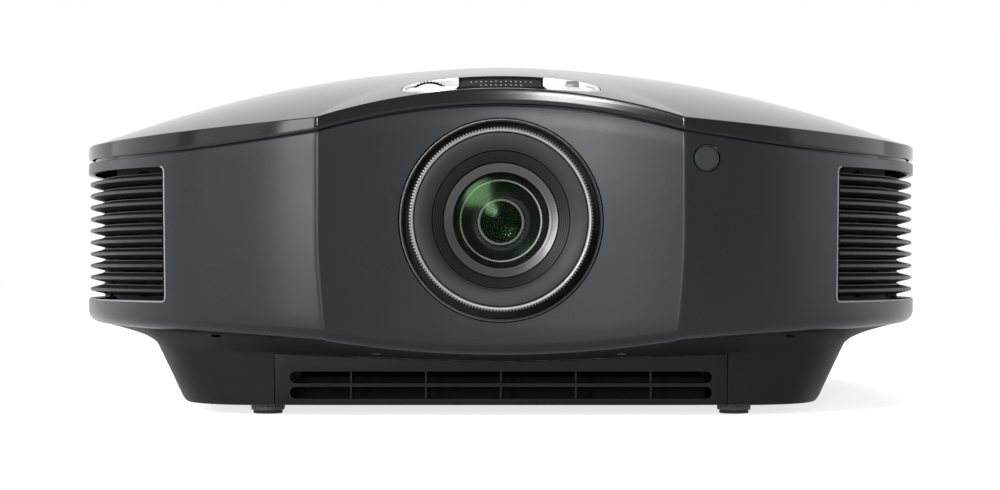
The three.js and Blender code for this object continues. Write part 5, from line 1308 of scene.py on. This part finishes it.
def make_side_panel():
    low, high = edges("connector_panel")
    plate = block("side_plate", tuple(low), tuple(high))
    tools = []
    for node in SOCKETS:
        box_low, box_high = edges(node)
        size = (box_high[1] - box_low[1] + 0.6, min(14, box_high[2] - box_low[2]) + 0.6)
        middle = socket_place(node)
        tools.append(extruded("tool", "x", rounded_loop(*size, 0.5), (0, *middle), low[0] - 2, high[0] + 2))
    for node in BUTTONS:
        tools.append(disc("tool", "x", (0, *socket_place(node)), 4.3, low[0] - 2, high[0] + 2, 48))
    stick = socket_place("control_stick")
    tools.append(disc("tool", "x", (0, *stick), 7, low[0] - 2, high[0] + 2, 64))
    cut(plate, *tools)
    finish(bevelled(plate, 0.3, 2), MOULDING, stands_for=["connector_panel"])
    rings = [disc_ring(node, (PLATE_X, *socket_place(node)), 4.6, 5.2) for node in BUTTONS]
    rings.append(disc_ring("stick", (PLATE_X, *stick), 7.3, 8.2))
    finish(joined("control_rings", rings), SILVER)
    corners = [(y, z) for y in (low[1] + 8, high[1] - 8) for z in (low[2] + 8, high[2] - 26)]
    screws = [screw_head((PLATE_X, y, z)) for y, z in corners]
    finish(joined("panel_screws", screws), STEEL)


def disc_ring(name, place, inner, outer):
    return turned(name, "x", place, [
        (inner, -0.1), (inner, 0.35), (inner + 0.2, 0.5), (outer - 0.2, 0.35), (outer, 0.05),
        (outer, -0.1)], 64)


def screw_head(place):
    """A pan-head screw with a cross recess; it faces along +X."""
    radius = 2.4
    head = turned("screw", "x", place, [
        (AXIS, -0.1), (radius, -0.1), (radius, 0.4), (radius * 0.8, 1.0), (radius * 0.4, 1.3),
        (AXIS, 1.35)], 32)
    x, y, z = place
    arms = ((1.3, 0.28), (0.28, 1.3))
    cross = [block("tool", (x + 0.6, y - dy, z - dz), (x + 2, y + dy, z + dz)) for dy, dz in arms]
    return cut(head, *cross)


def make_controls():
    for node in BUTTONS:
        low, high = edges(node)
        place = (PLATE_X, *socket_place(node))
        top = high[0] - PLATE_X
        cap = turned(f"{node}_cap", "x", place, [
            (AXIS, low[0] - PLATE_X), (3, low[0] - PLATE_X), (3, -3.6), (5, -3.6), (5, -2.3), (4, -2.3),
            (4, top - 0.7), (3.75, top - 0.3), (3.3, top), (2.2, top - 0.12), (1.0, top - 0.3),
            (AXIS, top - 0.35)], 64)
        finish(cap, BUTTON, node, [node])
    low, high = edges("control_stick")
    place = (PLATE_X, *socket_place("control_stick"))
    top = high[0] - PLATE_X

    def lobed(radius, j, i):
        return radius * (1 - 0.05 * (1 - math.cos(8 * math.pi * i / 96)) / 2) if 2 < j < 7 else radius

    cap = turned("stick_cap", "x", place, [
        (AXIS, low[0] - PLATE_X), (1.6, low[0] - PLATE_X), (1.6, top * 0.25), (4.6, top * 0.45),
        (5.3, top * 0.62), (5.4, top * 0.76), (5.0, top * 0.93), (4.3, top), (3.0, top - 0.45),
        (1.4, top - 0.75), (AXIS, top - 0.8)], 96, lobed)
    finish(cap, BUTTON, "control_stick", ["control_stick"])


# ---- Lamp door and back ----------------------------------------------------------------------------

def make_lamp_door():
    z0, z1 = DOOR_LOW[2], DOOR_HIGH[2]
    edge = 0.5
    stations = [place_at(y) for y in np.linspace(DOOR_LOW[1], DOOR_HIGH[1], 48)]
    sections = []
    for s in stations:
        loop = [(edge, z0), (2.4, z0), (2.4, z1), (edge, z1), (0.12, z1 - 0.15), (0, z1 - edge)]
        loop += [(0, z) for z in np.linspace(z1 - 4, z0 + 4, 8)] + [(0, z0 + edge), (0.12, z0 + 0.15)]
        sections.append([inside(-s, d, z) for d, z in loop])
    door = lofted("door_leaf", sections)
    x, y, _ = inside(-stations[-4], 0, 0)
    notch = extruded("tool", "x", rounded_loop(5, 18, 2.4), (0, y, (z0 + z1) / 2), x - 3, x + 1.1)
    cut(door, notch)
    finish(door, PAINT, "lamp_door", ["lamp_door"], sharp=30)


def make_lamp():
    """The lamp unit that shows when its door is open, with its ribbed face."""
    low, high = edges("lamp_housing")
    body = block("lamp_unit", (low[0] + 1.4, low[1], low[2]), tuple(high))
    ribs = [bevelled(block("rib", (low[0], y, low[2] + 4), (low[0] + 2, y + 2, high[2] - 4)), 0.4, 2)
            for y in np.arange(low[1] + 6, high[1] - 8, 6)]
    unit = joined("lamp_unit", [bevelled(body, 1.2, 3)] + ribs)
    finish(unit, LAMP_BLACK, stands_for=["lamp_housing"])


def make_inlet():
    """A mains inlet with its three pins."""
    low, high = edges("mains_inlet")
    x, z = (low[0] + high[0]) / 2, (low[2] + high[2]) / 2
    half_x, half_z = (high[0] - low[0]) / 2, (high[2] - low[2]) / 2
    slant = 4.5
    face = [
        (-half_x, half_z - slant), (-half_x, -half_z), (half_x, -half_z), (half_x, half_z - slant),
        (half_x - slant, half_z), (slant - half_x, half_z)]
    outer = rounded_corners(face, 1.2)
    body = extruded("inlet_shell", "y", outer, (x, 0, z), low[1], high[1])
    mouth = [(u * 0.87, v * 0.83) for u, v in outer]
    cut(body, extruded("tool", "y", mouth, (x, 0, z), low[1] + 2, high[1] + 2))
    finish(bevelled(body, 0.3, 2), INLET_BLACK, stands_for=["mains_inlet"])
    pins = []
    for dx, dz in ((-7, 1.6), (0, 4.2), (7, 1.6)):
        near, far = (x + dx - 1, low[1] + 1, z + dz - 1.8), (x + dx + 1, low[1] + 12.5, z + dz + 1.8)
        pins.append(bevelled(block("pin", near, far), 0.35))
    finish(joined("inlet_pins", pins), SOCKET_METAL)


# ---- Inside ----------------------------------------------------------------------------------------

CARRIED = {
    FOAM: ["air_filter"],
    LENS_BLACK: ["lens_barrel"],
    VOID_BLACK: ["lens_shield", "optical_engine", "exhaust_fan_left", "exhaust_fan_right",
                 "exhaust_rotor_left", "exhaust_rotor_right"],
    BOARD: ["main_board"],
    STEEL: ["power_supply", "lamp_ballast", "horizontal_carriage", "vertical_carriage", "lens_guide_frame",
            "horizontal_shift_screw", "vertical_shift_screw", "control_stick_gimbal"],
    BRASS: ["horizontal_shift_nut"],
    SILVER: ["lamp_reflector"],
}


def dress_carried():
    for material, nodes in CARRIED.items():
        for node in nodes:
            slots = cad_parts[node].data.materials
            slots.clear()
            slots.append(material)


make_lid()
make_front_panel()
make_rear_cover()
for make_piece in (make_vent_rim, make_grille):
    make_piece(-1, "left")
    make_piece(1, "right")
make_rear_grille()
make_base()
make_drawer()
make_feet()
make_recess()
make_island()
make_dials()
make_focus_ring()
make_zoom_ring()
make_hood()
make_glass()
make_bezel()
make_receiver("receiver_front", "ir_window_front")
make_receiver("receiver_rear", "ir_window_rear", rear=True)
make_side_panel()
make_slit_socket("hdmi_socket_upper", "upper")
make_slit_socket("hdmi_socket_lower", "lower")
make_shell_socket("vga_socket", "video", INSERT_BLUE, (5, 5, 5))
make_shell_socket("serial_socket", "serial", SOCKET_BLACK, (5, 4))
make_network_socket()
make_component_sockets()
make_controls()
make_lamp_door()
make_lamp()
make_inlet()
dress_carried()


# ---- Camera, lights and floor ----------------------------------------------------------------------

CAMERA_Y = -1200
CAMERA_Z = 66.1
CAMERA_LENS = 83.1
CAMERA_SENSOR = 36
CAMERA_SHIFT = (-0.00095, 0.0205)
CAMERA_REACH = 50  # metres
AMBIENT = 0.22  # the world's light on the object
FLOOR_REACH = 9000
FLOOR_GLOW = 0.75

# Azimuth and elevation in degrees, distance, width and height in metres, and watts
LAMPS = {
    "key_near": (-6, 8, 2.4, 0.26, 0.26, 18),
    "key_left": (-39, 10, 2.2, 0.7, 1.3, 36),
    "key_high": (-42, 28, 1.6, 1.0, 0.9, 7),
    "mid_left": (-66, 10, 2.2, 1.0, 1.2, 6),
    "fill_left": (-106, 10, 2.2, 1.6, 1.2, 5.5),
    "fill_right": (97, 10, 2.2, 2.0, 1.2, 9),
    "top_soft": (180, 65, 2.0, 1.6, 1.2, 9),
}
AIM = (0, -0.1, 0.09)  # the place that the lamps face, in metres


def make_camera():
    data = bpy.data.cameras.new("camera")
    data.lens = CAMERA_LENS
    data.sensor_width = CAMERA_SENSOR
    data.shift_x, data.shift_y = CAMERA_SHIFT
    data.clip_end = CAMERA_REACH
    camera = bpy.data.objects.new("camera", data)
    camera.location = (0, CAMERA_Y * MM, CAMERA_Z * MM)
    camera.rotation_euler = (math.pi / 2, 0, 0)
    bpy.context.scene.collection.objects.link(camera)
    bpy.context.scene.camera = camera


def facing(azimuth, elevation, distance):
    """A place round the object, and the turn that faces it. Azimuth 0 is in front, positive to the right."""
    a, e = math.radians(azimuth), math.radians(elevation)
    away = Vector((math.sin(a) * math.cos(e), -math.cos(a) * math.cos(e), math.sin(e)))
    return Vector(AIM) + away * distance, away.to_track_quat("Z", "Y").to_euler()


def softbox(name, azimuth, elevation, distance, width, height, watts):
    """An area lamp that faces the object."""
    data = bpy.data.lights.new(name, "AREA")
    data.shape = "RECTANGLE"
    data.size = width
    data.size_y = height
    data.energy = watts
    lamp = bpy.data.objects.new(name, data)
    lamp.location, lamp.rotation_euler = facing(azimuth, elevation, distance)
    lamp.visible_camera = False
    bpy.context.scene.collection.objects.link(lamp)


def seen_directly(nodes, links):
    """1 for the camera's rays and for reflected and transmitted ones, 0 for the light on the object."""
    path = nodes.new("ShaderNodeLightPath")
    total = path.outputs["Is Camera Ray"]
    for ray in ("Is Glossy Ray", "Is Transmission Ray"):
        total = math_node(nodes, links, "MAXIMUM", total, path.outputs[ray])
    return total


def make_world():
    world = bpy.data.worlds.new("studio")
    world.use_nodes = True
    nodes, links = world.node_tree.nodes, world.node_tree.links
    back = nodes["Background"]
    set_inputs(back, Color=(1, 1, 1, 1))
    strength = nodes.new("ShaderNodeMapRange")
    set_inputs(strength, To_Min=AMBIENT, To_Max=1.0)
    links.new(seen_directly(nodes, links), strength.inputs["Value"])
    links.new(strength.outputs["Result"], back.inputs["Strength"])
    bpy.context.scene.world = world


def make_floor():
    size = FLOOR_REACH
    corners = [(-size, -size, 0), (size, -size, 0), (size, size, 0), (-size, size, 0)]
    floor = mesh_object("floor", corners, [(0, 1, 2, 3)])
    material = bpy.data.materials.new("floor_white")
    material.use_nodes = True
    nodes, links = material.node_tree.nodes, material.node_tree.links
    shader = nodes["Principled BSDF"]
    set_inputs(
        shader, Base_Color=(0.9, 0.9, 0.9, 1), Roughness=0.9, Specular_IOR_Level=0.1,
        Emission_Color=(1, 1, 1, 1))
    glow = math_node(nodes, links, "MULTIPLY", seen_directly(nodes, links), FLOOR_GLOW)
    links.new(glow, shader.inputs["Emission Strength"])
    floor.data.materials.append(material)


bpy.context.scene.view_settings.view_transform = "Standard"
make_camera()
make_world()
make_floor()
for lamp_name, lamp in LAMPS.items():
    softbox(lamp_name, *lamp)
